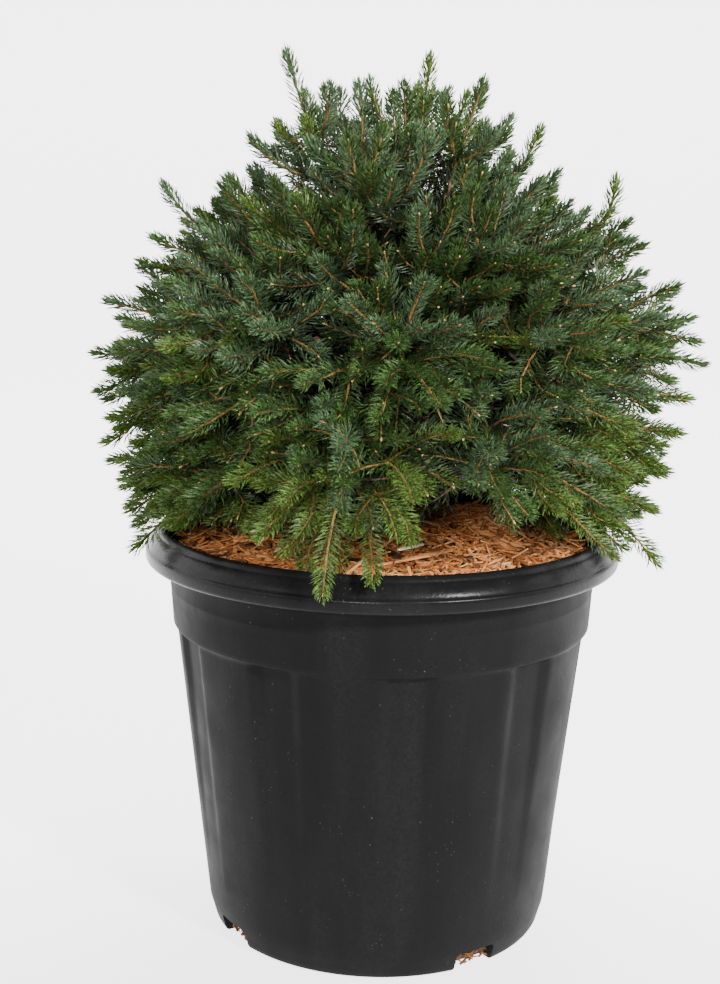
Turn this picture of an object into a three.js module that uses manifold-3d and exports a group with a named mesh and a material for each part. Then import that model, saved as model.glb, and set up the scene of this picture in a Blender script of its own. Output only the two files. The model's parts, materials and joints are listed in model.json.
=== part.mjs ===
import * as THREE from "three";
import { mergeVertices } from "three/addons/utils/BufferGeometryUtils.js";
import Module from "manifold-3d";

// A dwarf white spruce in a black nursery container: a dense dome of needled shoots that fan
// out from a short trunk, over shredded bark. Millimetres, +Z up. The origin is the middle of
// the container's flat underside, the front faces -Y and +X is on the right.

// Driving dimensions of the container
const POT = {
  height: 271,
  standRadius: 111,
  footRadius: 116,
  footZ: 13,
  bodyTopRadius: 138.5,
  bodyTopZ: 203,
  collarFootRadius: 141.3,
  collarFootZ: 209,
  collarTopRadius: 144.6,
  rimRadius: 160,
  rimZ: 254,
  rimUnderZ: 249.5,
  mouthRadius: 148,
  wall: 2.5,
  floor: 3,
  sides: 60,
  insideSides: 30,
};
const FLUTES = { count: 10, depth: 3.4, fadeZ: 30, turnDeg: 6.7, halfFloorDeg: 3 };
const NOTCH = { count: 4, turnDeg: 33.5, halfWidth: 15, height: 13, innerRadius: 100, outerRadius: 127 };

// Driving dimensions of the bark fill, the trunk and the crown
const FILL = { edgeZ: 256, middleZ: 262.5, flatRadius: 30, gap: 0.6, bump: 1.4, sides: 30 };
const TRUNK = {
  footZ: 262.8,
  sides: 10,
  bow: 5,
  rings: [[0, 19], [0.06, 14.5], [0.2, 12.5], [0.45, 10.5], [0.7, 8], [0.9, 5.2], [1, 3.4]],
};
const CROWN = {
  centre: new THREE.Vector3(6, 0, 385),
  reach: [[-45, 212], [-20, 206], [0, 200], [14, 193], [28, 177], [47, 161], [60, 175], [75, 194], [90, 196]],
  lump: 0.03,
  footShare: 0.42,
  seed: 1234,
};
const ROWS = [
  { elevation: 90, count: 1, turn: 0 },
  { elevation: 61, count: 5, turn: 180 },
  { elevation: 36, count: 6, turn: 0 },
  { elevation: 9, count: 8, turn: 0 },
  { elevation: -19, count: 8, turn: 22.5 },
];
// Tips of the leaders that stand out of the dome or hang over the rim, by row and place in it.
// A fourth number is how far the leader turns up at its end, or down if it is below zero.
const LONG_LEADERS = {
  "0_0": [27, 4, 586, 0],
  "1_0": [-68, -8, 587, 12],
  "1_2": [60, -40, 568, 0],
  "1_3": [104, 26, 541, 14],
  "2_0": [150, -6, 508, 50],
  "2_3": [-148, -8, 500, 22],
  "3_0": [207, -6, 413, 0],
  "3_4": [-197, -8, 384, 0],
  "4_3": [-178, 30, 270, -12],
  "4_4": [-160, -66, 262, -14],
  "4_5": [-36, -172, 260, -50],
  "4_7": [180, -46, 252, -20],
};
// Tips of single side shoots that hang over the rim, by row and place of their mass
const HANGING = { "4_5": [-8, -166, 267] };
const BOUGH = {
  lowZ: 306,
  highZ: 428,
  stagger: 42,
  rootRadius: 5.6,
  tipRadius: 3,
  sides: 5,
  segments: 3,
  gap: 0.35,
};
const CORE = {
  sides: 7,
  rings: [[0.46, 0.42], [0.6, 0.89], [0.74, 0.87], [0.81, 0.4]],
  needlesFrom: 0.78,
};
const SPACE = { overPot: 5, mostSpread: 0.7 };
const TIPS = {
  spacing: 41,
  meanReach: 195,
  lowest: -0.66,
  frontRise: 0.24,
  goldenAngle: 2.39996,
  jitter: 0.12,
  shortest: 0.94,
  longest: 1.03,
  offLeader: 22,
  offWall: 5,
};
const SHOOT = {
  coreRadius: 3.9,
  tipRadius: 2.6,
  needleOut: 7.5,
  needleOn: 10,
  bandLength: 20,
  lastNeedles: 0.8,
  attach: 1.3,
  clear: 0.45,
};
// Height that foliage keeps above, by radius: the bark, the rim's top and its slope
const FLOOR_UNDER_CROWN = [[0, 266.5], [141, 264], [144, 274], [151, 274], [162, 257.5]];

const wasm = await Module();
wasm.setup();

const radians = THREE.MathUtils.degToRad;

// Numbers from 0 to 1 that repeat from the same seed
function makeRandom(seed) {
  let state = seed >>> 0;
  return () => {
    state = (state + 0x6d2b79f5) >>> 0;
    let t = Math.imul(state ^ (state >>> 15), state | 1);
    t = (t + Math.imul(t ^ (t >>> 7), t | 61)) ^ t;
    return ((t ^ (t >>> 14)) >>> 0) / 4294967296;
  };
}

// The value at x on a line through [x, value] pairs
function onLine(pairs, x) {
  const after = pairs.findIndex(([at]) => at >= x);
  if (after === 0) return pairs[0][1];
  if (after < 0) return pairs[pairs.length - 1][1];
  const [[x0, v0], [x1, v1]] = [pairs[after - 1], pairs[after]];
  return v0 + ((v1 - v0) * (x - x0)) / (x1 - x0);
}

function toSolid(geometry) {
  const bare = new THREE.BufferGeometry();
  bare.setAttribute("position", geometry.getAttribute("position"));
  bare.setIndex(geometry.index);
  const merged = mergeVertices(bare, 1e-4);
  return new wasm.Manifold(
    new wasm.Mesh({
      numProp: 3,
      vertProperties: merged.attributes.position.array,
      triVerts: new Uint32Array(merged.index.array),
    }),
  );
}

function toGeometry(solid) {
  const mesh = solid.getMesh();
  const geometry = new THREE.BufferGeometry();
  geometry.setAttribute("position", new THREE.BufferAttribute(mesh.vertProperties, 3));
  geometry.setIndex(new THREE.BufferAttribute(mesh.triVerts, 1));
  const flat = geometry.toNonIndexed();
  flat.computeVertexNormals();
  return flat;
}

const materials = {
  pot: new THREE.MeshStandardMaterial({ name: "pot_plastic", color: 0x2b2b2c, roughness: 0.55 }),
  bark: new THREE.MeshStandardMaterial({ name: "bark_shreds", color: 0xa0632f, roughness: 0.95 }),
  trunk: new THREE.MeshStandardMaterial({ name: "trunk_bark", color: 0x5d4736, roughness: 0.9 }),
  bough: new THREE.MeshStandardMaterial({ name: "bough_bark", color: 0x8a5f34, roughness: 0.85 }),
  foliage: new THREE.MeshStandardMaterial({ name: "needles", color: 0x3f6b3d, roughness: 0.6 }),
};

function makeMesh(name, geometry, material) {
  const mesh = new THREE.Mesh(geometry, material);
  mesh.name = name;
  return mesh;
}

// The container

// How deep a flute is at a height: full under the collar and gone above the foot
function fluteDepth(z) {
  if (z >= POT.collarFootZ || z <= FLUTES.fadeZ) return 0;
  return (FLUTES.depth * (z - FLUTES.fadeZ)) / (POT.bodyTopZ - FLUTES.fadeZ);
}

// The share of a flute's depth at an angle from the front, with a flat floor and slanting sides
function fluteShare(angleDeg) {
  const period = 360 / FLUTES.count;
  const fromStart = THREE.MathUtils.euclideanModulo(angleDeg - FLUTES.turnDeg + period / 2, period);
  const fromMiddle = Math.abs(fromStart - period / 2);
  return THREE.MathUtils.clamp(1 - (fromMiddle - FLUTES.halfFloorDeg) / (2 * FLUTES.halfFloorDeg), 0, 1);
}

function outsideProfile() {
  return [
    [0, 0],
    [POT.standRadius, 0],
    [POT.footRadius, POT.footZ],
    [POT.bodyTopRadius, POT.bodyTopZ],
    [POT.collarFootRadius, POT.collarFootZ],
    [POT.collarTopRadius, POT.rimUnderZ],
    [POT.rimRadius - 3, POT.rimUnderZ + 0.5],
    [POT.rimRadius, POT.rimZ],
    [POT.rimRadius - 3.2, POT.rimZ + 10],
    [POT.mouthRadius, POT.height],
    [0, POT.height],
  ].map(([r, z]) => new THREE.Vector2(r, z));
}

// The hollow of the container, up to above its mouth; it clears the floors of the flutes
function hollowProfile() {
  const w = POT.wall;
  return [
    [0, POT.floor],
    [POT.standRadius - w, POT.floor],
    [POT.bodyTopRadius - w - FLUTES.depth, POT.bodyTopZ],
    [POT.collarFootRadius - w, POT.collarFootZ + 1],
    [POT.collarTopRadius - w, POT.rimUnderZ - 2],
    [POT.mouthRadius - w, POT.height + 1],
    [0, POT.height + 1],
  ].map(([r, z]) => new THREE.Vector2(r, z));
}

// A lathe's own axis is +Y and its start is +Z; this stands it up with its start at the front
function standUp(geometry) {
  return geometry.rotateX(Math.PI / 2);
}

function makePot() {
  const start = radians(FLUTES.turnDeg + FLUTES.halfFloorDeg);
  const shell = standUp(new THREE.LatheGeometry(outsideProfile(), POT.sides, start, 2 * Math.PI));
  const at = shell.getAttribute("position");
  for (let i = 0; i < at.count; i++) {
    const radius = Math.hypot(at.getX(i), at.getY(i));
    if (radius < 1) continue;
    const angle = THREE.MathUtils.radToDeg(Math.atan2(at.getX(i), -at.getY(i)));
    const scale = 1 - (fluteDepth(at.getZ(i)) * fluteShare(angle)) / radius;
    at.setXY(i, at.getX(i) * scale, at.getY(i) * scale);
  }
  const hollow = standUp(new THREE.LatheGeometry(hollowProfile(), POT.insideSides));
  let solid = toSolid(shell).subtract(toSolid(hollow));
  for (let n = 0; n < NOTCH.count; n++) {
    const deep = NOTCH.outerRadius - NOTCH.innerRadius;
    const cutter = new THREE.BoxGeometry(2 * NOTCH.halfWidth, deep, 2 * NOTCH.height);
    cutter.translate(0, -(NOTCH.innerRadius + NOTCH.outerRadius) / 2, 0);
    cutter.rotateZ(radians(NOTCH.turnDeg + (n * 360) / NOTCH.count));
    solid = solid.subtract(toSolid(cutter));
  }
  return makeMesh("pot", toGeometry(solid), materials.pot);
}

// The bark and growing medium that fill the container, with an uneven top

function makeFill() {
  const g = FILL.gap + POT.wall;
  const profile = [
    [0, POT.floor + 0.3],
    [POT.standRadius - g - 1, POT.floor + 0.3],
    [POT.bodyTopRadius - g - FLUTES.depth - 0.6, POT.bodyTopZ],
    [POT.collarFootRadius - g - 0.6, POT.collarFootZ + 2.5],
    [POT.collarTopRadius - g, FILL.edgeZ],
    [112, (FILL.edgeZ + FILL.middleZ) / 2],
    [72, FILL.middleZ - 1],
    [FILL.flatRadius, FILL.middleZ],
    [0, FILL.middleZ],
  ].map(([r, z]) => new THREE.Vector2(r, z));
  const fill = standUp(new THREE.LatheGeometry(profile, FILL.sides));
  const at = fill.getAttribute("position");
  for (let i = 0; i < at.count; i++) {
    const radius = Math.hypot(at.getX(i), at.getY(i));
    const onTop = at.getZ(i) > FILL.edgeZ + 0.5 && radius > FILL.flatRadius + 1;
    if (!onTop) continue;
    const wave = Math.sin(at.getX(i) * 0.37 + 1) * Math.cos(at.getY(i) * 0.31) + Math.sin(at.getY(i) * 0.9);
    at.setZ(i, at.getZ(i) + FILL.bump * wave * 0.6);
  }
  return makeMesh("bark_fill", toGeometry(toSolid(fill)), materials.bark);
}

// Limbs

// A closed surface through rings of points; a last ring of one point is an apex.
// A needle is a facet lifted into a small pyramid by its tip.
function loft(rings, needleTip = null) {
  const positions = [];
  const faces = [];
  const sides = rings[0].length;
  rings.forEach((ring) => ring.forEach((p) => positions.push(p.x, p.y, p.z)));
  const addFacet = (a, b, c, band, half, k) => {
    const tip = needleTip && needleTip(band, half, k);
    if (!tip) {
      faces.push(a, b, c);
      return;
    }
    const t = positions.length / 3;
    positions.push(tip.x, tip.y, tip.z);
    faces.push(a, b, t, b, c, t, c, a, t);
  };
  const pointed = rings[rings.length - 1].length === 1;
  for (let j = 0; j + 1 < rings.length; j++) {
    for (let k = 0; k < sides; k++) {
      const a = j * sides + k;
      const b = j * sides + ((k + 1) % sides);
      const c = (j + 1) * sides + (rings[j + 1].length === 1 ? 0 : k);
      if (rings[j + 1].length === 1) {
        addFacet(a, b, c, j, 0, k);
        continue;
      }
      const d = (j + 1) * sides + ((k + 1) % sides);
      addFacet(a, b, c, j, 0, k);
      addFacet(b, d, c, j, 1, k);
    }
  }
  const last = (rings.length - 1) * sides;
  for (let k = 1; k + 1 < sides; k++) {
    faces.push(0, k + 1, k);
    if (!pointed) faces.push(last, last + k, last + k + 1);
  }
  const geometry = new THREE.BufferGeometry();
  geometry.setAttribute("position", new THREE.BufferAttribute(new Float32Array(positions), 3));
  geometry.setIndex(faces);
  return geometry;
}

// A direction well away from the one that a ring is square to
function referenceFor(normal) {
  return Math.abs(normal.z) > 0.8 ? new THREE.Vector3(1, 0, 0) : new THREE.Vector3(0, 0, 1);
}

// Points round a centre, in the plane that a normal crosses, starting from a reference direction
function ringAt(centre, normal, radius, sides, reference, turn = 0) {
  const along = reference.clone().addScaledVector(normal, -reference.dot(normal)).normalize();
  const across = new THREE.Vector3().crossVectors(normal, along);
  return Array.from({ length: sides }, (_, k) => {
    const angle = turn + (2 * Math.PI * k) / sides;
    return centre
      .clone()
      .addScaledVector(along, radius * Math.cos(angle))
      .addScaledVector(across, radius * Math.sin(angle));
  });
}

// The trunk's middle and radius at a height; it leans over to the foot of the top mass
function trunkAt(z, top) {
  const share = THREE.MathUtils.clamp((z - TRUNK.footZ) / (top.z - TRUNK.footZ), 0, 1);
  const middleAt = (s) => [top.x * s * s, top.y * s + TRUNK.bow * Math.sin(Math.PI * s)];
  const shares = TRUNK.rings.map(([at]) => at);
  const x = onLine(shares.map((at) => [at, middleAt(at)[0]]), share);
  const y = onLine(shares.map((at) => [at, middleAt(at)[1]]), share);
  return { middle: new THREE.Vector3(x, y, z), radius: onLine(TRUNK.rings, share) };
}

function makeTrunk({ foot, axis }) {
  const up = new THREE.Vector3(0, 0, 1);
  const east = new THREE.Vector3(1, 0, 0);
  const rings = TRUNK.rings.map(([share], j) => {
    const end = foot.clone().addScaledVector(axis, -BOUGH.gap / 2);
    if (share === 1) return ringAt(end, axis, TRUNK.rings[j][1], TRUNK.sides, east);
    const { middle, radius } = trunkAt(TRUNK.footZ + share * (foot.z - TRUNK.footZ), foot);
    const ring = ringAt(middle, up, radius, TRUNK.sides, east);
    if (j === 0) ring.forEach((p, k) => p.lerp(middle, k % 2 ? 0.16 : 0)); // buttresses of the root flare
    return ring;
  });
  return makeMesh("trunk", loft(rings), materials.trunk);
}

// The crown's masses, each in its own cone of space round the direction of its leader

function direction(azimuthDeg, elevationDeg) {
  const [a, e] = [radians(azimuthDeg), radians(elevationDeg)];
  return new THREE.Vector3(Math.cos(a) * Math.cos(e), Math.sin(a) * Math.cos(e), Math.sin(e));
}

// The lowest that foliage points in a direction's azimuth, as a height on the unit sphere. At the
// front the crown stops higher and leaves the bark in view.
function lowestTowards(unit) {
  const front = Math.max(0, -unit.y) / Math.hypot(unit.x, unit.y, 1e-6);
  return TIPS.lowest + TIPS.frontRise * front ** 2;
}

// How far the dome reaches from its centre in a direction
function reachTowards(unit) {
  const elevation = THREE.MathUtils.radToDeg(Math.asin(THREE.MathUtils.clamp(unit.z, -1, 1)));
  const azimuth = Math.atan2(unit.y, unit.x);
  const wave = Math.sin(3 * azimuth + 1.1 + unit.z * 4) * Math.cos(radians(elevation));
  return onLine(CROWN.reach, elevation) * (1 + CROWN.lump * wave);
}

function plantMasses() {
  const random = makeRandom(CROWN.seed);
  const masses = [];
  ROWS.forEach((row, r) => {
    for (let n = 0; n < row.count; n++) {
      const azimuth = row.turn + (360 * n) / row.count + (random() - 0.5) * 8;
      const long = LONG_LEADERS[`${r}_${n}`];
      const even = direction(azimuth, row.elevation + (random() - 0.5) * 6);
      const before = long && new THREE.Vector3(long[0], long[1], long[2] - long[3]);
      const axis = long ? before.clone().sub(CROWN.centre).normalize() : even;
      const reach = reachTowards(axis);
      const foot = CROWN.centre.clone().addScaledVector(axis, CROWN.footShare * reach);
      const onDome = CROWN.centre.clone().addScaledVector(axis, reach);
      const tip = long ? new THREE.Vector3(long[0], long[1], long[2]) : onDome;
      const rung = ((n * 0.618 + r * 0.45) % 1) - 0.5;
      const hanging = HANGING[`${r}_${n}`];
      masses.push({ name: `${r + 1}_${n + 1}`, axis, reach, foot, tip, rung, hanging, index: masses.length });
    }
  });
  return masses;
}

// How far a point lies inside its mass's cone; below zero is outside
function roomIn(mass, masses, point) {
  const from = point.clone().sub(CROWN.centre);
  let room = Infinity;
  for (const other of masses) {
    if (other === mass) continue;
    const wall = mass.axis.clone().sub(other.axis).normalize();
    room = Math.min(room, from.dot(wall));
  }
  return room;
}

// Whether a point is clear of the container and the bark
function clearOfPot(point, margin) {
  const radius = Math.hypot(point.x, point.y);
  return radius > POT.rimRadius + 2 + margin || point.z > onLine(FLOOR_UNDER_CROWN, radius) + margin;
}

// The middle line of a lateral: it leaves its leader at a wide angle and bends to point outwards
function lateralPath(start, tip) {
  const outwards = tip.clone().sub(CROWN.centre).normalize();
  const length = start.distanceTo(tip);
  return new THREE.QuadraticBezierCurve3(start, tip.clone().addScaledVector(outwards, -0.5 * length), tip);
}

// A needled shoot along a curve: a slim three-sided core whose outer facets carry needles.
// Needles whose tips would leave the mass's space, or touch the container, are left off.
function shootSolid(path, bareShare, mass, masses, rootRadius) {
  const length = path.getLength();
  const needled = Math.max(2, Math.round((length * (1 - bareShare)) / SHOOT.bandLength));
  const stops = [0, bareShare];
  for (let j = 1; j <= needled; j++) stops.push(bareShare + (1 - bareShare) * (j / needled));
  const reference = referenceFor(path.getTangent(0));
  const centres = stops.map((s) => path.getPointAt(s));
  const tangents = stops.map((s) => path.getTangentAt(s));
  const rings = stops.map((s, j) => {
    if (s >= 1) return [centres[j]];
    const taper = THREE.MathUtils.lerp(SHOOT.coreRadius, SHOOT.tipRadius, (s - bareShare) / (1 - bareShare));
    return ringAt(centres[j], tangents[j], j < 1 ? rootRadius : taper, 3, reference, (j * Math.PI) / 3);
  });
  const fits = (p) => roomIn(mass, masses, p) > SHOOT.clear && clearOfPot(p, SHOOT.clear);
  if (!rings.flat().every(fits)) return null;
  const needleTip = (band, half, k) => {
    if (band < 1) return null;
    const above = rings[band + 1];
    const [near, far] = [rings[band][k], rings[band][(k + 1) % 3]];
    const next = above[k % above.length];
    const corners = half === 0 ? [near, far, next] : [far, above[(k + 1) % 3], next];
    const middle = corners.reduce((sum, p) => sum.add(p), new THREE.Vector3()).divideScalar(3);
    const axisPoint = centres[band].clone().lerp(centres[band + 1], half === 0 ? 1 / 3 : 2 / 3);
    const out = middle.clone().sub(axisPoint).normalize();
    const short = above.length === 1 ? SHOOT.lastNeedles : 1;
    const tip = middle.addScaledVector(out, SHOOT.needleOut * short);
    tip.addScaledVector(tangents[band], SHOOT.needleOn);
    return fits(tip) ? tip : null;
  };
  return toSolid(loft(rings, needleTip));
}

// The mass's own polar frame: a direction at an angle round its leader and a spread from it,
// and the spread at which its space ends
function spaceOf(mass, masses) {
  const reference = referenceFor(mass.axis);
  const along = reference.addScaledVector(mass.axis, -reference.dot(mass.axis)).normalize();
  const across = new THREE.Vector3().crossVectors(mass.axis, along);
  const unitAt = (angle, spread) =>
    mass.axis
      .clone()
      .addScaledVector(along, Math.tan(spread) * Math.cos(angle))
      .addScaledVector(across, Math.tan(spread) * Math.sin(angle))
      .normalize();
  const pointTowards = (unit, share) =>
    CROWN.centre.clone().addScaledVector(unit, share * reachTowards(unit));
  const pointAt = (angle, spread, share) => pointTowards(unitAt(angle, spread), share);
  const edgeAt = (angle) => {
    let spread = 0.05;
    const inside = (s) => {
      const unit = unitAt(angle, s);
      const point = pointTowards(unit, 1);
      const above = unit.z > lowestTowards(unit);
      return above && roomIn(mass, masses, point) > 0 && clearOfPot(point, SPACE.overPot);
    };
    while (spread < SPACE.mostSpread && inside(spread)) spread += 0.01;
    return spread;
  };
  return { pointAt, edgeAt };
}

// The dense inner part of a mass, a pod that its shoots stand out of
function coreSolid({ pointAt, edgeAt }) {
  const turns = Array.from({ length: CORE.sides }, (_, k) => (2 * Math.PI * k) / CORE.sides);
  const edges = turns.map(edgeAt);
  const ringOf = ([share, spread]) => turns.map((angle, k) => pointAt(angle, edges[k] * spread, share));
  const rings = CORE.rings.map(ringOf);
  return toSolid(loft(rings));
}

// Where the side shoots end: spread evenly over the whole dome by the golden angle, each given
// to the mass whose space it is in, and kept off that mass's own leader
function dealTips(masses) {
  const random = makeRandom(CROWN.seed + 1);
  for (const mass of masses) mass.laterals = [];
  const count = Math.round((2 * Math.PI * (1 - TIPS.lowest) * TIPS.meanReach ** 2) / TIPS.spacing ** 2);
  for (let i = 0; i < count; i++) {
    const z = 1 - ((i + 0.5) * (1 - TIPS.lowest)) / count;
    const azimuth = TIPS.goldenAngle * i + TIPS.jitter * (random() - 0.5);
    const flat = Math.sqrt(1 - z * z);
    const unit = new THREE.Vector3(flat * Math.cos(azimuth), flat * Math.sin(azimuth), z);
    const share = TIPS.shortest + (TIPS.longest - TIPS.shortest) * random();
    const owner = masses.reduce((best, mass) => (mass.axis.dot(unit) > best.axis.dot(unit) ? mass : best));
    const spread = unit.angleTo(owner.axis);
    if (spread * owner.reach < TIPS.offLeader || z < lowestTowards(unit)) continue;
    const tipAt = () => CROWN.centre.clone().addScaledVector(unit, share * reachTowards(unit));
    for (let n = 0; n < 12 && roomIn(owner, masses, tipAt()) < TIPS.offWall; n++) {
      unit.lerp(owner.axis, 0.05).normalize();
    }
    owner.laterals.push({ tip: tipAt(), spread, share });
  }
  for (const mass of masses.filter(({ hanging }) => hanging)) {
    const tip = new THREE.Vector3(...mass.hanging);
    const unit = tip.clone().sub(CROWN.centre).normalize();
    const share = tip.distanceTo(CROWN.centre) / reachTowards(unit);
    mass.laterals.push({ tip, spread: unit.angleTo(mass.axis), share });
  }
}

function makeMass(mass, masses) {
  const space = spaceOf(mass, masses);
  const base = mass.foot.clone().addScaledVector(mass.axis, BOUGH.gap / 2);
  const along = Math.max(0.5 * mass.reach, mass.tip.clone().sub(base).dot(mass.axis)) * 0.85;
  const bend = base.clone().addScaledVector(mass.axis, along);
  const leader = new THREE.QuadraticBezierCurve3(base, bend, mass.tip);
  const bare = ((CORE.needlesFrom - CROWN.footShare) * mass.reach) / leader.getLength();
  let solid = shootSolid(leader, bare, mass, masses, BOUGH.tipRadius);
  if (!solid) throw new Error(`leader of mass ${mass.name} leaves its space`);
  solid = solid.add(coreSolid(space));
  for (const { tip, spread, share } of mass.laterals) {
    const behind = share * (Math.cos(spread) - SHOOT.attach * Math.sin(spread));
    const attach = Math.max(CROWN.footShare + 0.05, behind);
    const start = CROWN.centre.clone().addScaledVector(mass.axis, attach * mass.reach);
    const path = lateralPath(start, tip);
    const lateralBare = 1 - ((share - CORE.needlesFrom) * mass.reach) / path.getLength();
    const lateral = shootSolid(path, lateralBare, mass, masses, SHOOT.coreRadius);
    if (lateral) solid = solid.add(lateral);
  }
  const whole = solid.decompose().reduce((big, body) => (body.volume() > big.volume() ? body : big));
  return makeMesh(`foliage_${mass.name}`, toGeometry(whole), materials.foliage);
}

// A bough from the trunk's side to its mass's stem; it ends square to that stem
function makeBough(mass, top) {
  const climb = THREE.MathUtils.clamp((mass.axis.z + 0.4) / 1.35, 0, 1);
  const attachZ = THREE.MathUtils.lerp(BOUGH.lowZ, BOUGH.highZ, climb) + BOUGH.stagger * mass.rung;
  const rootRadius = THREE.MathUtils.lerp(BOUGH.rootRadius, BOUGH.tipRadius + 0.6, climb);
  const { middle, radius } = trunkAt(attachZ - rootRadius, top.foot);
  const outwards = mass.foot.clone().sub(middle).setZ(0).normalize();
  const root = middle.setZ(attachZ).addScaledVector(outwards, radius + BOUGH.gap);
  const end = mass.foot.clone().addScaledVector(mass.axis, -BOUGH.gap / 2);
  const bend = end.clone().addScaledVector(mass.axis, -0.45 * root.distanceTo(end));
  const path = new THREE.QuadraticBezierCurve3(root, bend, end);
  const steep = Math.abs(mass.axis.z) > 0.8;
  const reference = steep ? new THREE.Vector3(outwards.y, -outwards.x, 0) : new THREE.Vector3(0, 0, 1);
  const rings = Array.from({ length: BOUGH.segments + 1 }, (_, j) => {
    const share = j / BOUGH.segments;
    const normal = j === 0 ? outwards : j === BOUGH.segments ? mass.axis : path.getTangentAt(share);
    const size = THREE.MathUtils.lerp(rootRadius, BOUGH.tipRadius, share);
    return ringAt(path.getPointAt(share), normal, size, BOUGH.sides, reference);
  });
  return makeMesh(`bough_${mass.name}`, loft(rings), materials.bough);
}

const plant = new THREE.Group();
const masses = plantMasses();
dealTips(masses);
plant.add(makePot(), makeFill(), makeTrunk(masses[0]));
for (const mass of masses) {
  plant.add(makeMass(mass, masses));
  if (mass.index > 0) plant.add(makeBough(mass, masses[0]));
}

export default plant;
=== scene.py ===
"""Dressing for a dwarf white spruce in a black nursery container.

Everything is in metres, +Z up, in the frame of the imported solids: the origin is the middle of
the container's underside and the front faces -Y. Sizes in millimetres are turned to metres by MM.
"""

import json
from math import acos, asin, atan2, cos, degrees, hypot, pi, radians, sin, sqrt
from types import SimpleNamespace as Values

import bmesh
import bpy
import numpy as np
from bpy.props import FloatProperty, FloatVectorProperty, IntProperty, PointerProperty
from mathutils import Matrix, Vector
from numpy.linalg import norm

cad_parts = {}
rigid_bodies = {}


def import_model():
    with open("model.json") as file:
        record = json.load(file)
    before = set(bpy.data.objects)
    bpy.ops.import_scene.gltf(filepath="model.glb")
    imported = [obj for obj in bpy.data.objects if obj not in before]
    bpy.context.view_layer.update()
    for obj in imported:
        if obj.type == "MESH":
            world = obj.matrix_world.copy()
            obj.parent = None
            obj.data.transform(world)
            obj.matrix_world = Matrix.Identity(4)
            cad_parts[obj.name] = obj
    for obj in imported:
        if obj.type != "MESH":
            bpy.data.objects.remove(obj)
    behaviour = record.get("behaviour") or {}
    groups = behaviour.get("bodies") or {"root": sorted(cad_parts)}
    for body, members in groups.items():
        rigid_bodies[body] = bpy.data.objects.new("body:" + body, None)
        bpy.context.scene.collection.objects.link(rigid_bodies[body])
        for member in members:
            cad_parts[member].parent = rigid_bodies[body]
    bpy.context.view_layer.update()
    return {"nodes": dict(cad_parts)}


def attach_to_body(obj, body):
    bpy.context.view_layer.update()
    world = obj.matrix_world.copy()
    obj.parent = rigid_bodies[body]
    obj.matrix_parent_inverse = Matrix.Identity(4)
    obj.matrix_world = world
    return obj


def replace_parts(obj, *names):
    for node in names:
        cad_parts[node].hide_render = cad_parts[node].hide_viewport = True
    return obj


bl_info = {
    "name": "Potted dwarf spruce",
    "version": (1, 0, 0),
    "blender": (4, 5, 0),
    "location": "View3D > Sidebar > Spruce",
    "description": "Builds the container, bark, wood, twigs and needles of a potted dwarf spruce",
    "category": "Object",
}

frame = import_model()
MM = 0.001
UP = np.array([0.0, 0.0, 1.0])

# The source's sizes, in millimetres and degrees

POT = Values(
    stand=111, body=138.5, body_z=203, collar_foot=141.3, collar=144.6, rim=160, wall=2.5, floor=3,
)
FLUTES = Values(count=10, depth=3.4, fade_z=30, top_z=205.2, turn=6.7, half_floor=4.4, half_top=7.6)
NOTCH = Values(count=4, turn=33.5, half_width=15, height=13, inner=100, outer=127, corner=3.5)
FILL = Values(foot_z=3.5, edge_z=258.5, middle_z=263.5, edge_radius=141.5)
TRUNK = Values(
    foot_z=262.8, bow=5,
    rings=[(0, 19), (0.06, 14.5), (0.2, 12.5), (0.45, 10.5), (0.7, 8), (0.9, 5.2), (1, 3.4)],
)
CENTRE = np.array([6.0, 0.0, 385.0])
# Elevation in degrees, and how far the dome reaches there
REACH = [(-45, 212), (-20, 206), (0, 200), (14, 193), (28, 177), (47, 161), (60, 175), (75, 194), (90, 196)]
LUMP = 0.03
FOOT_SHARE = 0.42
SEED = 1234
# Elevation, number and first turn of each row of masses
ROWS = [(90, 1, 0), (61, 5, 180), (36, 6, 0), (9, 8, 0), (-19, 8, 22.5)]
# For a row and a place in it, the tip of its leader, and how far below the tip it aims at first
LONG_LEADERS = {
    (0, 0): (27, 4, 586, 0), (1, 0): (-68, -8, 587, 12), (1, 2): (60, -40, 568, 0),
    (1, 3): (104, 26, 541, 14), (2, 0): (150, -6, 508, 50), (2, 3): (-148, -8, 500, 22),
    (3, 0): (207, -6, 413, 0), (3, 4): (-197, -8, 384, 0), (4, 3): (-178, 30, 270, -12),
    (4, 4): (-160, -66, 262, -14), (4, 5): (-36, -172, 260, -50), (4, 7): (180, -46, 252, -20),
}
# The tip of a side shoot that hangs over the rim
HANGING = {(4, 5): (-8, -166, 267)}
BOUGH = Values(low_z=306, high_z=428, stagger=42, root=5.6, tip=3, gap=0.35)
# How far behind its tip a side shoot leaves the leader, as a share of its distance from it
ATTACH = 1.3
TIPS = Values(
    spacing=41, reach=195, lowest=-0.66, front_rise=0.24, golden=2.39996, jitter=0.12,
    shortest=0.94, longest=1.03, off_leader=22, off_wall=5,
)

# The scene's own sizes, in millimetres

# How much of a main shoot's length is left to the tuft at its tip
TUFT = 6
# Radius, and the height that shoots stay above there
FLOOR_UNDER_CROWN = [(0, 266.5), (141, 264), (144, 274), (151, 274), (162, 257.5)]
EYE = np.array([-16.5, -1070.0, 504.0])
BARK_SEEN = Values(z=262, back=22, bend_x=-10, slope=0.85, half_width=150)
HOLLOW = Values(x=42, y=-60, z=293, half_width=22, half_height=13)
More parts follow.
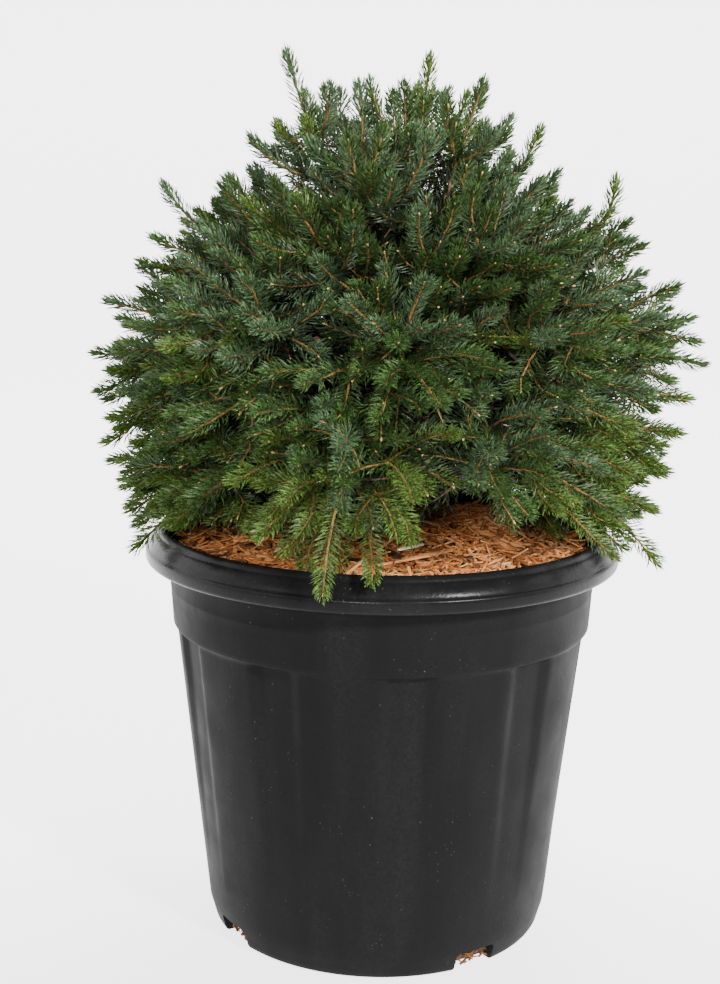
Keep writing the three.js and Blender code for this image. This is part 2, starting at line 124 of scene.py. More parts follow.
# Radius and height, up the outside of the container
WALL_LINE = (116, 14), (138.4, 201.5)
COLLAR = [
    (138.6, 203), (139.3, 204.6), (140.6, 205.6), (141.3, 206.6), (141.45, 209), (142.6, 224),
    (142.95, 230.4), (143.25, 231.2), (143.05, 232.2), (143.6, 238), (144.4, 247.5), (144.9, 248.9),
    (146.2, 249.4),
]
RIM = [
    (152, 249.4), (157.4, 249.3), (158.7, 249.6), (159.6, 250.5), (160, 252), (160, 255.5), (160, 257.2),
    (159.6, 258.2), (158.9, 258.6), (158.4, 259), (157.9, 260.2), (156.6, 262.6), (154.4, 265.2),
    (152.6, 266.9), (151.9, 267.3), (151.5, 268.1), (150.6, 269.4), (149.6, 270.4), (148.6, 270.9),
    (147.6, 270.9), (146.6, 270.2), (145.9, 268.6),
]
# Length, width, thickness, bend and raggedness of each kind of shred
SHREDS = (
    (14, 2.6, 0.9, 0.3, 0.9), (20, 1.7, 0.8, -0.32, 0.9), (9, 3.4, 1.1, 0.15, 1.1),
    (26, 2.2, 0.8, 0.26, 0.8), (6, 2.2, 0.9, 0, 1.1), (12, 1.2, 0.7, 0.5, 0.9),
)
# Name, colour, start, end and width of each larger sliver
SLIVERS = (
    ("bark_splinter", (0.8, 0.7, 0.46, 1), (9, -66), (26, -48), 3.2),
    ("bark_strip", (0.6, 0.27, 0.09, 1), (-5, -103), (45, -58), 4.2),
)

# The shoots' numbers: millimetres, turns in radians, angles in degrees, and shares

MAIN = Values(
    leader=1.6, lateral=1.2, tip=0.6, clear=4.3, room=2, young=0.7, least_young=30, bare=0.42, tuft=17,
)
WHORL = Values(
    first=(42, 58), step=(38, 48), twist=(0.7, 1.6), outer=(0.8, 1.02), inner=(50, 78), apart=3,
    of_three=0.8, same_tone=0.55, hanging=20, into_bare=0.35, half_step=(18, 26), half_turn=(1.2, 2.6),
    half=(34, 52),
)
LITTLE = Values(share=0.25, at=0.55, turn=2.2, length=(17, 24))
FINER = Values(
    thick=0.85, thinner=0.7, tip=0.48, clear=3.5, bare=2.5, angle=(34, 54), reach=(0.86, 0.99), steep=0.75,
    upright=0.35, flat=0.6, shortest=13, out=-20, lit=0.84, shaded=0.7, tuft=13, forks=46, two_forks=60,
)
FORK = Values(turn=(1.1, 1.9), at=(0.34, 0.55), length=(0.42, 0.6))
SKIRT = Values(
    turns=(-2.2, -0.94), sway=0.5, length=(44, 70), drop=(0.4, 1.1), step=(24, 34), front_y=-60,
    short_of_tip=24,
)
FRINGE = Values(
    turns=(-0.34, -0.17, 0.0, 0.17, 0.34), sway=0.05, begin=(0.45, 0.65), radius=(151, 166), z=(272, 277),
)
INNER = Values(
    length=(42, 66), radii=(1.0, 0.5), clear=2.5, bare=9, front=0.76, back=0.92, back_y=40, old=0.8,
)
# How far a shoot is lifted, try by try, to clear the container and what the front shows
LIFTS = Values(inner=(0, 5, 10, 16, 24, 36), finer=(0, 9, 18, 27), fringe=(0, 3, 6, 9), above_z=272)
# The shortest stretches that are made, and how far apart the points of a stretch are
SHORTEST = Values(old=6, young=4)
APART = Values(old_wood=9, old_needles=6, young_wood=11, needles=5)
# The needles' length on each kind of shoot, and how they stand on it
NEEDLES = Values(main=1.05, hanging=0.86, finer=0.96, inner=1.05)
STAND = Values(
    sway=(-0.4, 0.4), parted=0.26, lean=(0.78, 0.98), closing=0.3, fanned=0.62, lifted=0.12,
    longest_at=0.45, shorter_ends=0.2, long=(0.84, 1.1), wide=(0.85, 1.15),
)

# Painted shade: how the needles darken inside, between two shares of the dome's reach

PAINTED_SHADE = Values(per_reach=(5.0, 5.0, 5.4), begin=0.52, end=0.88, dim=0.4)

# The stage, in metres, with the camera's turns in radians

ROOM = Values(radius=3.2, curve=0.7, height=3.2, open_y=-1.35)
CAMERA = Values(pitch=0.1262, roll=0.0143, shift_y=-112 / 984)
AIR_LIGHT = 0.2
# Name, place, target, size and share of the key light's power
LIGHTS = (
    ("key", (1.1, -1.45, 1.25), (0, 0, 0.3), 0.3, 1),
    ("low", (-0.3, -1.9, 0.8), (0, 0, 0.28), 0.4, 0.35),
    ("fill", (-1.7, -1.2, 1.1), (0, 0, 0.3), 1.2, 0.1),
    ("top", (0.3, -0.2, 2.2), (0, 0, 0.4), 0.9, 0.22),
    ("back", (0.2, 0.9, 2.6), (0, 2.4, 0.5), 1.6, 0.8),
)


# Sizes and colours that a user would change


def colour(name, description, default):
    return FloatVectorProperty(
        name=name, description=description, subtype="COLOR", size=4, min=0, max=1, default=default,
    )


def size(name, description, millimetres):
    default = millimetres * MM
    return FloatProperty(name=name, description=description, default=default, unit="LENGTH", precision=5)


class SpruceContainer(bpy.types.PropertyGroup):
    segments: IntProperty(name="Segments", description="Facets round the container", default=270, min=60)
    flute_depth: size("Flute depth", "Depth of a flute under the collar", FLUTES.depth)
    plastic: colour("Plastic", "Colour of the black plastic", (0.0042, 0.0042, 0.0044, 1))
    dust: colour("Dust", "Colour of the dust on the plastic", (0.09, 0.085, 0.075, 1))


class SpruceBark(bpy.types.PropertyGroup):
    chips: FloatProperty(name="Chips", description="Shreds on a square metre, for each tone", default=17500)
    lift: size("Lift", "How far shreds stand off the bed", 3.6)
    light: colour("Light shreds", "Colour of the freshest shreds", (0.6, 0.305, 0.12, 1))
    warm: colour("Warm shreds", "Colour of most shreds", (0.47, 0.152, 0.034, 1))
    brown: colour("Brown shreds", "Colour of the weathered shreds", (0.24, 0.08, 0.02, 1))
    soil: colour("Growing medium", "Colour of the medium under the shreds", (0.025, 0.013, 0.007, 1))


class SpruceCrown(bpy.types.PropertyGroup):
    needle_length: size("Needle length", "Length of a full needle", 12)
    needle_width: size("Needle width", "Width of a needle at its widest", 1.0)
    needle_spacing: size("Needle spacing", "Length of twig for each needle", 0.46)
    seed: IntProperty(name="Seed", description="Seed of the finer shoots", default=7)
    glaucous: colour("Blue-green needles", "Needles with a waxy bloom", (0.029, 0.054, 0.021, 1))
    middle: colour("Green needles", "Most needles", (0.02, 0.043, 0.0085, 1))
    fresh: colour("Fresh needles", "Young needles at the outside", (0.034, 0.062, 0.0085, 1))
    # Old needles: darker partly as older needles are, partly as painted shade, since they are given to
    # shoots deep inside
    old: colour("Old needles", "Needles in the shade inside", (0.009, 0.018, 0.005, 1))
    young_wood: colour("Young twigs", "Bark of the twigs that show", (0.12, 0.068, 0.016, 1))
    old_wood: colour("Old wood", "Bark of the trunk and boughs", (0.07, 0.044, 0.028, 1))
    bud: colour("Buds", "Scales of the resting buds", (0.36, 0.23, 0.09, 1))


class SpruceStage(bpy.types.PropertyGroup):
    lens: FloatProperty(
        name="Lens", description="Focal length on a 36 mm sensor, in millimetres", default=58.54,
    )
    key: FloatProperty(name="Key light", description="Power of the main light", default=125, unit="POWER")
    glow: FloatProperty(name="Glow", description="Light that floor and backdrop give off", default=3.4)
    floor: colour("Floor", "Colour of the floor and the backdrop", (0.35, 0.35, 0.35, 1))


# The source's rule for the crown


def seeded(seed):
    """Numbers from 0 to 1, the same as the source's from the same seed."""
    state = seed & 0xFFFFFFFF

    def draw():
        nonlocal state
        state = (state + 0x6D2B79F5) & 0xFFFFFFFF
        t = ((state ^ (state >> 15)) * (state | 1)) & 0xFFFFFFFF
        t = ((t + ((t ^ (t >> 7)) * (t | 61) & 0xFFFFFFFF)) & 0xFFFFFFFF) ^ t
        return (t ^ (t >> 14)) / 4294967296

    return draw


def unit(v):
    return v / norm(v)


def on_line(pairs, x):
    return float(np.interp(x, [p[0] for p in pairs], [p[1] for p in pairs]))


def direction(azimuth, elevation):
    a, e = radians(azimuth), radians(elevation)
    return np.array([cos(a) * cos(e), sin(a) * cos(e), sin(e)])


def lowest_towards(u):
    """The lowest that foliage points in a direction's azimuth; the front leaves the bark in view."""
    front = max(0, -u[1]) / hypot(u[0], u[1], 1e-6)
    return TIPS.lowest + TIPS.front_rise * front**2


def reach_towards(u):
    """How far the dome reaches from its centre in a direction."""
    elevation = asin(max(-1, min(1, u[2])))
    wave = sin(3 * atan2(u[1], u[0]) + 1.1 + u[2] * 4) * cos(elevation)
    return on_line(REACH, degrees(elevation)) * (1 + LUMP * wave)


def plant_masses():
    draw = seeded(SEED)
    masses = []
    for r, (row_elevation, count, turn) in enumerate(ROWS):
        for n in range(count):
            azimuth = turn + 360 * n / count + (draw() - 0.5) * 8
            even = direction(azimuth, row_elevation + (draw() - 0.5) * 6)
            long = LONG_LEADERS.get((r, n))
            axis = unit(np.array([long[0], long[1], long[2] - long[3]]) - CENTRE) if long else even
            reach = reach_towards(axis)
            tip = np.array(long[:3], float) if long else CENTRE + axis * reach
            foot = CENTRE + axis * FOOT_SHARE * reach
            rung = (n * 0.618 + r * 0.45) % 1 - 0.5
            hanging = HANGING.get((r, n))
            masses.append(Values(
                axis=axis, reach=reach, tip=tip, foot=foot, rung=rung, hanging=hanging, laterals=[],
            ))
    return masses


def room_in(mass, masses, point):
    """How far a point lies inside its mass's cone; below zero is outside."""
    away = point - CENTRE
    return min(float(away @ unit(mass.axis - other.axis)) for other in masses if other is not mass)


def clear_of_pot(point, margin):
    radius = hypot(point[0], point[1])
    return radius > POT.rim + 2 + margin or point[2] > on_line(FLOOR_UNDER_CROWN, radius) + margin


def before_seen_bark(point):
    """Whether a point stands before the bark that the front leaves in view."""
    hit = EYE + (point - EYE) * (EYE[2] - BARK_SEEN.z) / max(1, EYE[2] - point[2])
    back = BARK_SEEN.back - BARK_SEEN.slope * max(0, BARK_SEEN.bend_x - hit[0])
    return abs(hit[0]) < BARK_SEEN.half_width and hit[1] < back


def before_hollow(point):
    """Whether a point stands before the dark hollow low in the crown's front."""
    if point[1] > HOLLOW.y:
        return False
    hit = EYE + (point - EYE) * (HOLLOW.y - EYE[1]) / (point[1] - EYE[1])
    across = (hit[0] - HOLLOW.x) / HOLLOW.half_width
    return across**2 + ((hit[2] - HOLLOW.z) / HOLLOW.half_height) ** 2 < 1


def deal_tips(masses):
    """Side shoots' tips, spread evenly over the dome and given to the mass whose space they are in."""
    draw = seeded(SEED + 1)
    count = round(2 * pi * (1 - TIPS.lowest) * TIPS.reach ** 2 / TIPS.spacing ** 2)
    for i in range(count):
        z = 1 - (i + 0.5) * (1 - TIPS.lowest) / count
        azimuth = TIPS.golden * i + TIPS.jitter * (draw() - 0.5)
        flat = sqrt(1 - z * z)
        u = np.array([flat * cos(azimuth), flat * sin(azimuth), z])
        share = TIPS.shortest + (TIPS.longest - TIPS.shortest) * draw()
        owner = max(masses, key=lambda m: float(m.axis @ u))
        spread = acos(min(1, float(u @ owner.axis)))
        if spread * owner.reach < TIPS.off_leader or z < lowest_towards(u):
            continue
        for _ in range(12):
            if room_in(owner, masses, CENTRE + u * share * reach_towards(u)) >= TIPS.off_wall:
                break
            u = unit(u * 0.95 + owner.axis * 0.05)
        owner.laterals.append((CENTRE + u * share * reach_towards(u), spread, share))
    for mass in masses:
        if mass.hanging:
            tip = np.array(mass.hanging, float)
            u = unit(tip - CENTRE)
            share = float(norm(tip - CENTRE)) / reach_towards(u)
            mass.laterals.append((tip, acos(min(1, float(u @ mass.axis))), share))


def bezier(a, b, c, count):
    t = np.linspace(0, 1, count)[:, None]
    return (1 - t) ** 2 * a + 2 * t * (1 - t) * b + t**2 * c


def lengths(path):
    return np.concatenate([[0], np.cumsum(norm(np.diff(path, axis=0), axis=1))])


def length_of(path):
    return float(lengths(path)[-1])


def cut(path, start, end, count):
    """The part of a path between two lengths along it, with evenly spaced points."""
    along = lengths(path)
    at = np.linspace(max(0, start), min(along[-1], end), count)
    return np.stack([np.interp(at, along, path[:, k]) for k in range(3)], 1)


def heading(path, at):
    """The point at a length along a path, and the way the path runs there."""
    start = max(0.0, min(at, length_of(path) - 3))
    here = cut(path, start, start + 3, 2)
    return here[0], unit(here[1] - here[0])


def trunk_middle(z, top):
    share = min(1, max(0, (z - TRUNK.foot_z) / (top[2] - TRUNK.foot_z)))
    xs = [(s, top[0] * s * s) for s, _ in TRUNK.rings]
    ys = [(s, top[1] * s + TRUNK.bow * sin(pi * s)) for s, _ in TRUNK.rings]
    return np.array([on_line(xs, share), on_line(ys, share), z]), on_line(TRUNK.rings, share)


def bough_path(mass, top):
    """A bough's middle line from the trunk to its mass, and its radius at the trunk."""
    climb = min(1, max(0, (mass.axis[2] + 0.4) / 1.35))
    attach = BOUGH.low_z + (BOUGH.high_z - BOUGH.low_z) * climb + BOUGH.stagger * mass.rung
    root_radius = BOUGH.root + (BOUGH.tip + 0.6 - BOUGH.root) * climb
    middle, radius = trunk_middle(attach - root_radius, top)
    outwards = mass.foot - middle
    outwards[2] = 0
    root = np.array([middle[0], middle[1], attach]) + unit(outwards) * (radius * 0.7)
    end = mass.foot + mass.axis * 2
    bend = end - mass.axis * 0.45 * norm(root - end)
    return bezier(root, bend, end, 18), root_radius


def main_shoots(mass):
    """A mass's leader and side shoots, as the source draws them."""
    base = mass.foot + mass.axis * BOUGH.gap / 2
    along = max(0.5 * mass.reach, float((mass.tip - base) @ mass.axis)) * 0.85
    leader = bezier(base, base + mass.axis * along, mass.tip, 24)
    paths = [leader]
    for tip, spread, share in mass.laterals:
        attach = max(FOOT_SHARE + 0.05, share * (cos(spread) - ATTACH * sin(spread)))
        start = CENTRE + mass.axis * attach * mass.reach
        outwards = unit(tip - CENTRE)
        paths.append(bezier(start, tip - outwards * 0.5 * norm(tip - start), tip, 20))
    return paths


class Shoots:
    """Every shoot of the crown: its wood, and the needled stretches with their tones."""

    def __init__(self, crown):
        self.draw = seeded(crown.seed)
        self.masses = plant_masses()
        self.young_wood, self.old_wood, self.sprays = [], [], []
        deal_tips(self.masses)
        for mass in self.masses:
            for n, path in enumerate(main_shoots(mass)):
                clear = all(clear_of_pot(p, MAIN.clear) for p in path)
                room = all(room_in(mass, self.masses, p) > MAIN.room for p in path)
                if n == 0:
                    self.main(mass, path, MAIN.leader)
                elif clear and room and not any(before_hollow(p) for p in path):
                    self.main(mass, path, MAIN.lateral)
        self.inside()

    def between(self, low, high):
        return low + (high - low) * self.draw()

    def tone(self, point):
        """Waxy in the middle of the front and back, fresh low down, on top and at the sides."""
        away = unit(point - CENTRE)
        low, top = max(0, -away[2] - 0.12), max(0, away[2] - 0.7)
        fresh = min(1, 0.08 + 0.42 * away[0] ** 2 + 2.2 * low + 0.9 * top)
        if self.draw() < fresh:
            return "fresh" if self.draw() < 0.55 + low else "middle"
        return "glaucous" if self.draw() < 0.5 else "middle"

    def grow(self, path, thick, thin, bare, young, tone, size, tuft):
        """A shoot with needles from its bare stretch on, and young wood in its outer part."""
        total = length_of(path)
        between = thick + (thin - thick) * young / total
        if young > SHORTEST.old:
            points = max(3, int(young / APART.old_wood))
            self.old_wood.append((cut(path, 0, young, points), thick, between))
            if young - bare > SHORTEST.old:
                points = max(4, int((young - bare) / APART.old_needles))
                self.sprays.append((cut(path, bare, young, points), "old", size, 0.0))
        if total - young > SHORTEST.young:
            points = max(4, int((total - young) / APART.young_wood))
            self.young_wood.append((cut(path, max(0, young - 1), total, points), between, thin))
            start = max(bare, young)
            points = max(5, int((total - start) / APART.needles))
            self.sprays.append((cut(path, start, total, points), tone, size, 0.0))
            if tuft:
                self.sprays.append((cut(path, total - tuft, total, 5), tone, size, 1.0))

    def main(self, mass, path, thick):
        """A leader or a side shoot of the source's rule, with whorls of finer shoots behind its tip."""
        path = cut(path, 0, length_of(path) - TUFT, len(path))
        along = lengths(path)
        total = float(along[-1])
        far = norm(path - CENTRE, axis=1) / mass.reach
        young, bare = (float(np.interp(share, far, along)) for share in (MAIN.young, MAIN.bare))
        tone = self.tone(path[-1])
        hanging = before_seen_bark(path[-1])
        size = NEEDLES.hanging if hanging else NEEDLES.main
        young = min(young, total - MAIN.least_young)
        self.grow(path, thick, MAIN.tip, bare, young, tone, size, MAIN.tuft)
        turn = self.between(0, 6.28)
        back = self.between(*WHORL.first) + (WHORL.hanging if hanging else 0)
        furthest = total - bare * WHORL.into_bare
        outermost = True
        while back < furthest:
            count = 3 if self.draw() < WHORL.of_three else 4
            for k in range(count):
                length = self.between(*WHORL.outer) * back if outermost else self.between(*WHORL.inner)
                pick = tone if self.draw() < WHORL.same_tone else self.tone(path[-1])
                at = total - back - WHORL.apart * k
                self.side(mass, path, at, turn + 2 * pi * k / count, length, pick, 1)
            half = back + self.between(*WHORL.half_step)
            if half < furthest:
                half_turn = turn + self.between(*WHORL.half_turn)
                self.side(mass, path, total - half, half_turn, self.between(*WHORL.half), tone, 2)
            if outermost and self.draw() < LITTLE.share:
                at, length = total - back * LITTLE.at, self.between(*LITTLE.length)
                self.side(mass, path, at, turn + LITTLE.turn, length, tone, 2)
            back += self.between(*WHORL.step)
            turn += self.between(*WHORL.twist)
            outermost = False
        if mass.axis[2] < 0 and path[-1][1] > SKIRT.front_y:
            self.skirt(mass, path, bare, total, tone)
            if thick == MAIN.leader:
                self.fringe(mass, path, total, tone)

    def skirt(self, mass, path, start, end, tone):
        """Short shoots that hang from the lowest limbs at the back and sides."""
        at = start
        while at < end - SKIRT.short_of_tip:
            for turn in SKIRT.turns:
                turn += self.between(-SKIRT.sway, SKIRT.sway)
                length, drop = self.between(*SKIRT.length), self.between(*SKIRT.drop)
                self.side(mass, path, at, turn, length, tone, 2, drop)
            at += self.between(*SKIRT.step)

    def fringe(self, mass, path, total, tone):
        """Shoots that droop from a lowest leader over the container's rim."""
        azimuth = atan2(mass.axis[1], mass.axis[0])
        for turn in FRINGE.turns:
            begin, tangent = heading(path, self.between(*FRINGE.begin) * total)
            r, a = self.between(*FRINGE.radius), azimuth + turn + self.between(-FRINGE.sway, FRINGE.sway)
            tip = np.array([r * cos(a), r * sin(a), self.between(*FRINGE.z)])
            self.finer(mass, begin, tangent, tip, LIFTS.fringe, turn, tone, 2)

    def inside(self):
        """Shaded twigs on the trunk and the boughs, with the needles that are left on them."""
        top = self.masses[0].foot
        trunk = np.array([trunk_middle(z, top)[0] for z in np.linspace(TRUNK.foot_z, top[2], 24)])
        limbs = [(trunk, 8, 8, 4)]
        limbs += [(bough_path(mass, top)[0], 10, 14, 3) for mass in self.masses[1:]]
        limbs += [(main_shoots(mass)[0][:18], 8, 16, 4) for mass in self.masses if mass.axis[2] < 0]
        for path, start, step, count in limbs:
            at, turn = start, self.between(0, 6.28)
            while at < length_of(path):
                for k in range(count):
                    self.inner(path, at, turn + 2 * pi * k / count, self.between(*INNER.length))
                at += step * self.between(0.8, 1.2)
                turn += self.between(*WHORL.twist)

    def inner(self, path, at, turn, length):
        """One shaded twig, lifted until it is clear of the container and the bark that shows."""
        start, tangent = heading(path, at)
        across = unit(np.cross(tangent, [0.31, 0.2, 0.9]))
        around = across * cos(turn) + np.cross(tangent, across) * sin(turn)
        reach = (tangent * 0.5 + around * 0.86) * length
        bend = (tangent * 0.37 + around * 0.38) * length
        for lift in LIFTS.inner:
            raised = lift * UP
            twig = bezier(start, start + bend + raised * 0.4, start + reach + raised, 8)
            away = twig[-1] - CENTRE
            share = norm(away) / reach_towards(unit(away))
            clear = all(clear_of_pot(p, INNER.clear) for p in twig) and not before_seen_bark(twig[-1])
            if clear and share < (INNER.back if away[1] > INNER.back_y else INNER.front):
                # Deep twigs take the old tone, whose darkness is partly painted shade
                tone = "old" if share < INNER.old else "middle"
                self.old_wood.append((twig, *INNER.radii))
                self.sprays.append((cut(twig, INNER.bare, length, 8), tone, NEEDLES.inner, 0.0))
                return

    def side(self, mass, path, at, turn, length, tone, level, drop=0.0):
        """A finer shoot: it leaves at a wide angle, bends outwards and branches again if it is long."""
        start, tangent = heading(path, at)
        level_side = np.cross(tangent, [0, 0, 1])
        if norm(level_side) < FINER.upright:
            level_side = np.cross(tangent, [1, 0, 0.2])
        level_side = unit(level_side)
        steep = np.cross(level_side, tangent)
        flat = FINER.flat if abs(tangent[2]) < FINER.steep else 1.0
        side = unit(level_side * cos(turn) + steep * sin(turn) * flat)
        angle = radians(self.between(*FINER.angle))
        tip = start + unit(tangent * cos(angle) + side * sin(angle) - drop * UP) * length
        u = unit(tip - CENTRE)
        most = reach_towards(u) * self.between(*FINER.reach)
        if norm(tip - CENTRE) > most:
            tip = CENTRE + u * most
        lifts = LIFTS.finer if path[-1][2] > LIFTS.above_z else (0,)
        self.finer(mass, start, tangent, tip, lifts, turn, tone, level)

    def finer(self, mass, start, tangent, tip, lifts, turn, tone, level):
        """A finer shoot to a tip, lifted clear of the container and of what the front shows."""
        for lift in lifts:
            raised = tip + lift * UP
            outwards = unit(raised - CENTRE)
            span = float(norm(raised - start))
            shoot = bezier(start, raised - (outwards * 0.6 + tangent * 0.4) * 0.45 * span, raised, 12)
            clear = all(clear_of_pot(p, FINER.clear) and not before_hollow(p) for p in shoot)
            if clear and (lifts == (0,) or not before_seen_bark(raised)):
                break
        else:
            return
        if span < FINER.shortest or room_in(mass, self.masses, raised) < FINER.out:
            return
        share = norm(raised - CENTRE) / reach_towards(outwards)
        thick = FINER.thick if level == 1 else FINER.thinner
        # Shoots deep inside take the old tone, whose darkness is partly painted shade
        shown = "old" if share < FINER.shaded else tone
        tuft = FINER.tuft if share > FINER.lit else 0
        self.grow(shoot, thick, FINER.tip, FINER.bare, 0, shown, NEEDLES.finer, tuft)
        if level == 1 and span > FINER.forks:
            for k in (-1, 1) if span > FINER.two_forks else (1,):
                twist = turn + k * self.between(*FORK.turn)
                at, length = span * self.between(*FORK.at), self.between(*FORK.length) * span
                self.side(mass, shoot, at, twist, length, tone, 2)


# Meshes


def placed(name, data):
    """A new object at the origin, in the scene."""
    made = bpy.data.objects.new(name, data)
    bpy.context.scene.collection.objects.link(made)
    return made


def new_piece(name, mesh, material=None, smooth=True):
    """An object at the origin that rides with the plant's one body."""
    piece = placed(name, mesh)
    if material:
        mesh.materials.append(material)
    mesh.polygons.foreach_set("use_smooth", np.full(len(mesh.polygons), smooth))
    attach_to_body(piece, "root")
    return piece


def mesh_of(name, points, faces):
    mesh = bpy.data.meshes.new(name)
    mesh.from_pydata(np.asarray(points, float).tolist(), [], faces)
    mesh.validate()
    return mesh


def ring(radius, at, z):
    """Points at angles from the front round Z; radius and height may change round the ring."""
    return np.stack([radius * np.sin(at), -radius * np.cos(at), 0 * at + z], 1)


def round_angles(count):
    return 2 * pi * np.arange(count) / count


def grid_faces(rows, columns, closed=True):
    """Quads over rows of points; each row closes on itself, or not."""
    faces = []
    for a in range(0, (rows - 1) * columns, columns):
        for k in range(columns if closed else columns - 1):
            m, b = (k + 1) % columns, a + columns
            faces.append((a + k, a + m, b + m, b + k))
    return faces


def closed_skin(rings, low, high):
    """Points and faces over rings of points, with one more point to close each end."""
    sides = len(rings[0])
    faces = grid_faces(len(rings), sides)
    first = len(rings) * sides
    last = first - sides
    for k in range(sides):
        m = (k + 1) % sides
        faces += [(first, m, k), (first + 1, last + k, last + m)]
    return np.concatenate([*rings, [low], [high]]), faces


def limb(points, radii, sides, relief):
    """A tapering limb with ridged bark, as points and faces."""
    points = np.asarray(points, float)
    tangents = np.gradient(points, axis=0)
    tangents /= norm(tangents, axis=1)[:, None]
    side = unit(np.cross(tangents[0], [0.31, 0.9, 0.2]))
    at = round_angles(sides)
    rings = []
    for j, (p, t, r) in enumerate(zip(points, tangents, radii)):
        side = unit(side - t * (side @ t))
        other = np.cross(t, side)
        ridges = np.sin(at * 5 + j * 0.5) * 0.5 + np.sin(at * 9 - j * 0.8 + 2) * 0.35
        out = 1 + relief * (ridges + np.sin(j * 1.7 + at * 3) * 0.35)
        rings.append(p + (np.cos(at) * out)[:, None] * side * r + (np.sin(at) * out)[:, None] * other * r)
    return closed_skin(rings, points[0], points[-1])


def join_parts(name, parts):
    points, faces, first = [], [], 0
    for verts, some in parts:
        points.append(verts)
        faces += [tuple(i + first for i in f) for f in some]
        first += len(verts)
    return mesh_of(name, np.concatenate(points) * MM, faces)


def polylines(name, paths, **numbers):
    """A mesh of edges only, one chain for each path, with its numbers at each point."""
    mesh = bpy.data.meshes.new(name)
    points = np.concatenate(paths) * MM
    ends = set(np.cumsum([len(path) for path in paths]) - 1)
    edges = [(i, i + 1) for i in range(len(points)) if i not in ends]
    mesh.from_pydata(points.tolist(), edges, [])
    for key, values in numbers.items():
        mesh.attributes.new(key, "FLOAT", "POINT").data.foreach_set("value", np.concatenate(values))
    return mesh


# Geometry Nodes


class Nodes:
    """Short calls that add nodes to a tree; most of its node types share a prefix."""

    def fill(self, socket, value):
        if isinstance(value, bpy.types.NodeSocket):
            self.links.new(value, socket)
        else:
            socket.default_value = value

    def node(self, kind, links=None, **settings):
        made = self.nodes.new(kind if "Node" in kind else self.prefix + kind)
        for key, value in settings.items():
            setattr(made, key, value)
        for key, value in (links or {}).items():
            self.fill(made.inputs[key], value)
        return made.outputs

    def maths(self, operation, a, b=0.0):
        return self.node("ShaderNodeMath", {0: a, 1: b}, operation=operation, use_clamp=self.clamp)[0]

    def times(self, a, b):
        return self.maths("MULTIPLY", a, b)

    def plus(self, a, b):
        return self.maths("ADD", a, b)

    def minus(self, a, b):
        return self.maths("SUBTRACT", a, b)


class Tree(Nodes):
    """A tree that turns a mesh into a piece's geometry."""

    prefix, clamp = "GeometryNode", False

    def __init__(self, name, **inputs):
        self.group = bpy.data.node_groups.new(name, "GeometryNodeTree")
        self.nodes, self.links = self.group.nodes, self.group.links
        new_socket = self.group.interface.new_socket
        for side in ("OUTPUT", "INPUT"):
            new_socket("Geometry", in_out=side, socket_type="NodeSocketGeometry")
        self.ids = {}
        for label, kind in inputs.items():
            self.ids[label] = new_socket(label, in_out="INPUT", socket_type="NodeSocket" + kind).identifier
        self.given = self.nodes.new("NodeGroupInput").outputs
        self.end = self.nodes.new("NodeGroupOutput").inputs

    def between(self, low, high, seed):
        links = {"Min": low, "Max": high, "Seed": seed}
        return self.node("FunctionNodeRandomValue", links, data_type="FLOAT")[1]

    def vector(self, x=0.0, y=0.0, z=0.0):
        return self.node("ShaderNodeCombineXYZ", {0: x, 1: y, 2: z})[0]

    def euler(self, x=0.0, y=0.0, z=0.0):
        return self.node("FunctionNodeEulerToRotation", {0: self.vector(x, y, z)})[0]

    def turned(self, rotation, by):
        return self.node("FunctionNodeRotateRotation", {0: rotation, 1: by}, rotation_space="LOCAL")[0]

    def aligned(self, axis, vector, pivot="AUTO", **links):
        """A rotation with one of its axes turned to a vector."""
        kind = "FunctionNodeAlignRotationToVector"
        return self.node(kind, {"Vector": vector, **links}, axis=axis, pivot_axis=pivot)[0]

    def curve(self):
        return self.node("MeshToCurve", {"Mesh": self.given["Geometry"]})[0]

    def tangent(self):
        return self.node("InputTangent")[0]

    def attribute(self, name):
        return self.node("InputNamedAttribute", {"Name": name}, data_type="FLOAT")[0]

    def model(self, label):
        return self.node("ObjectInfo", {"Object": self.given[label]})["Geometry"]

    def strew(self, **links):
        """Instances on points, as the tree's result."""
        self.finish(self.node("InstanceOnPoints", {k.replace("_", " "): v for k, v in links.items()})[0])

    def finish(self, geometry):
        real = self.node("RealizeInstances", {"Geometry": geometry})[0]
        done = self.node("SetMaterial", {"Geometry": real, "Material": self.given["Material"]})[0]
        self.links.new(done, self.end[0])

    def apply(self, source, name, **values):
        """The tree's result on a mesh, as a plain mesh."""
        carrier = placed(name + "_carrier", source)
        modifier = carrier.modifiers.new("made", "NODES")
        modifier.node_group = self.group
        for label, value in values.items():
            modifier[self.ids[label]] = value
        graph = bpy.context.evaluated_depsgraph_get()
        mesh = bpy.data.meshes.new_from_object(carrier.evaluated_get(graph))
        mesh.name = name
        bpy.data.objects.remove(carrier)
        return mesh


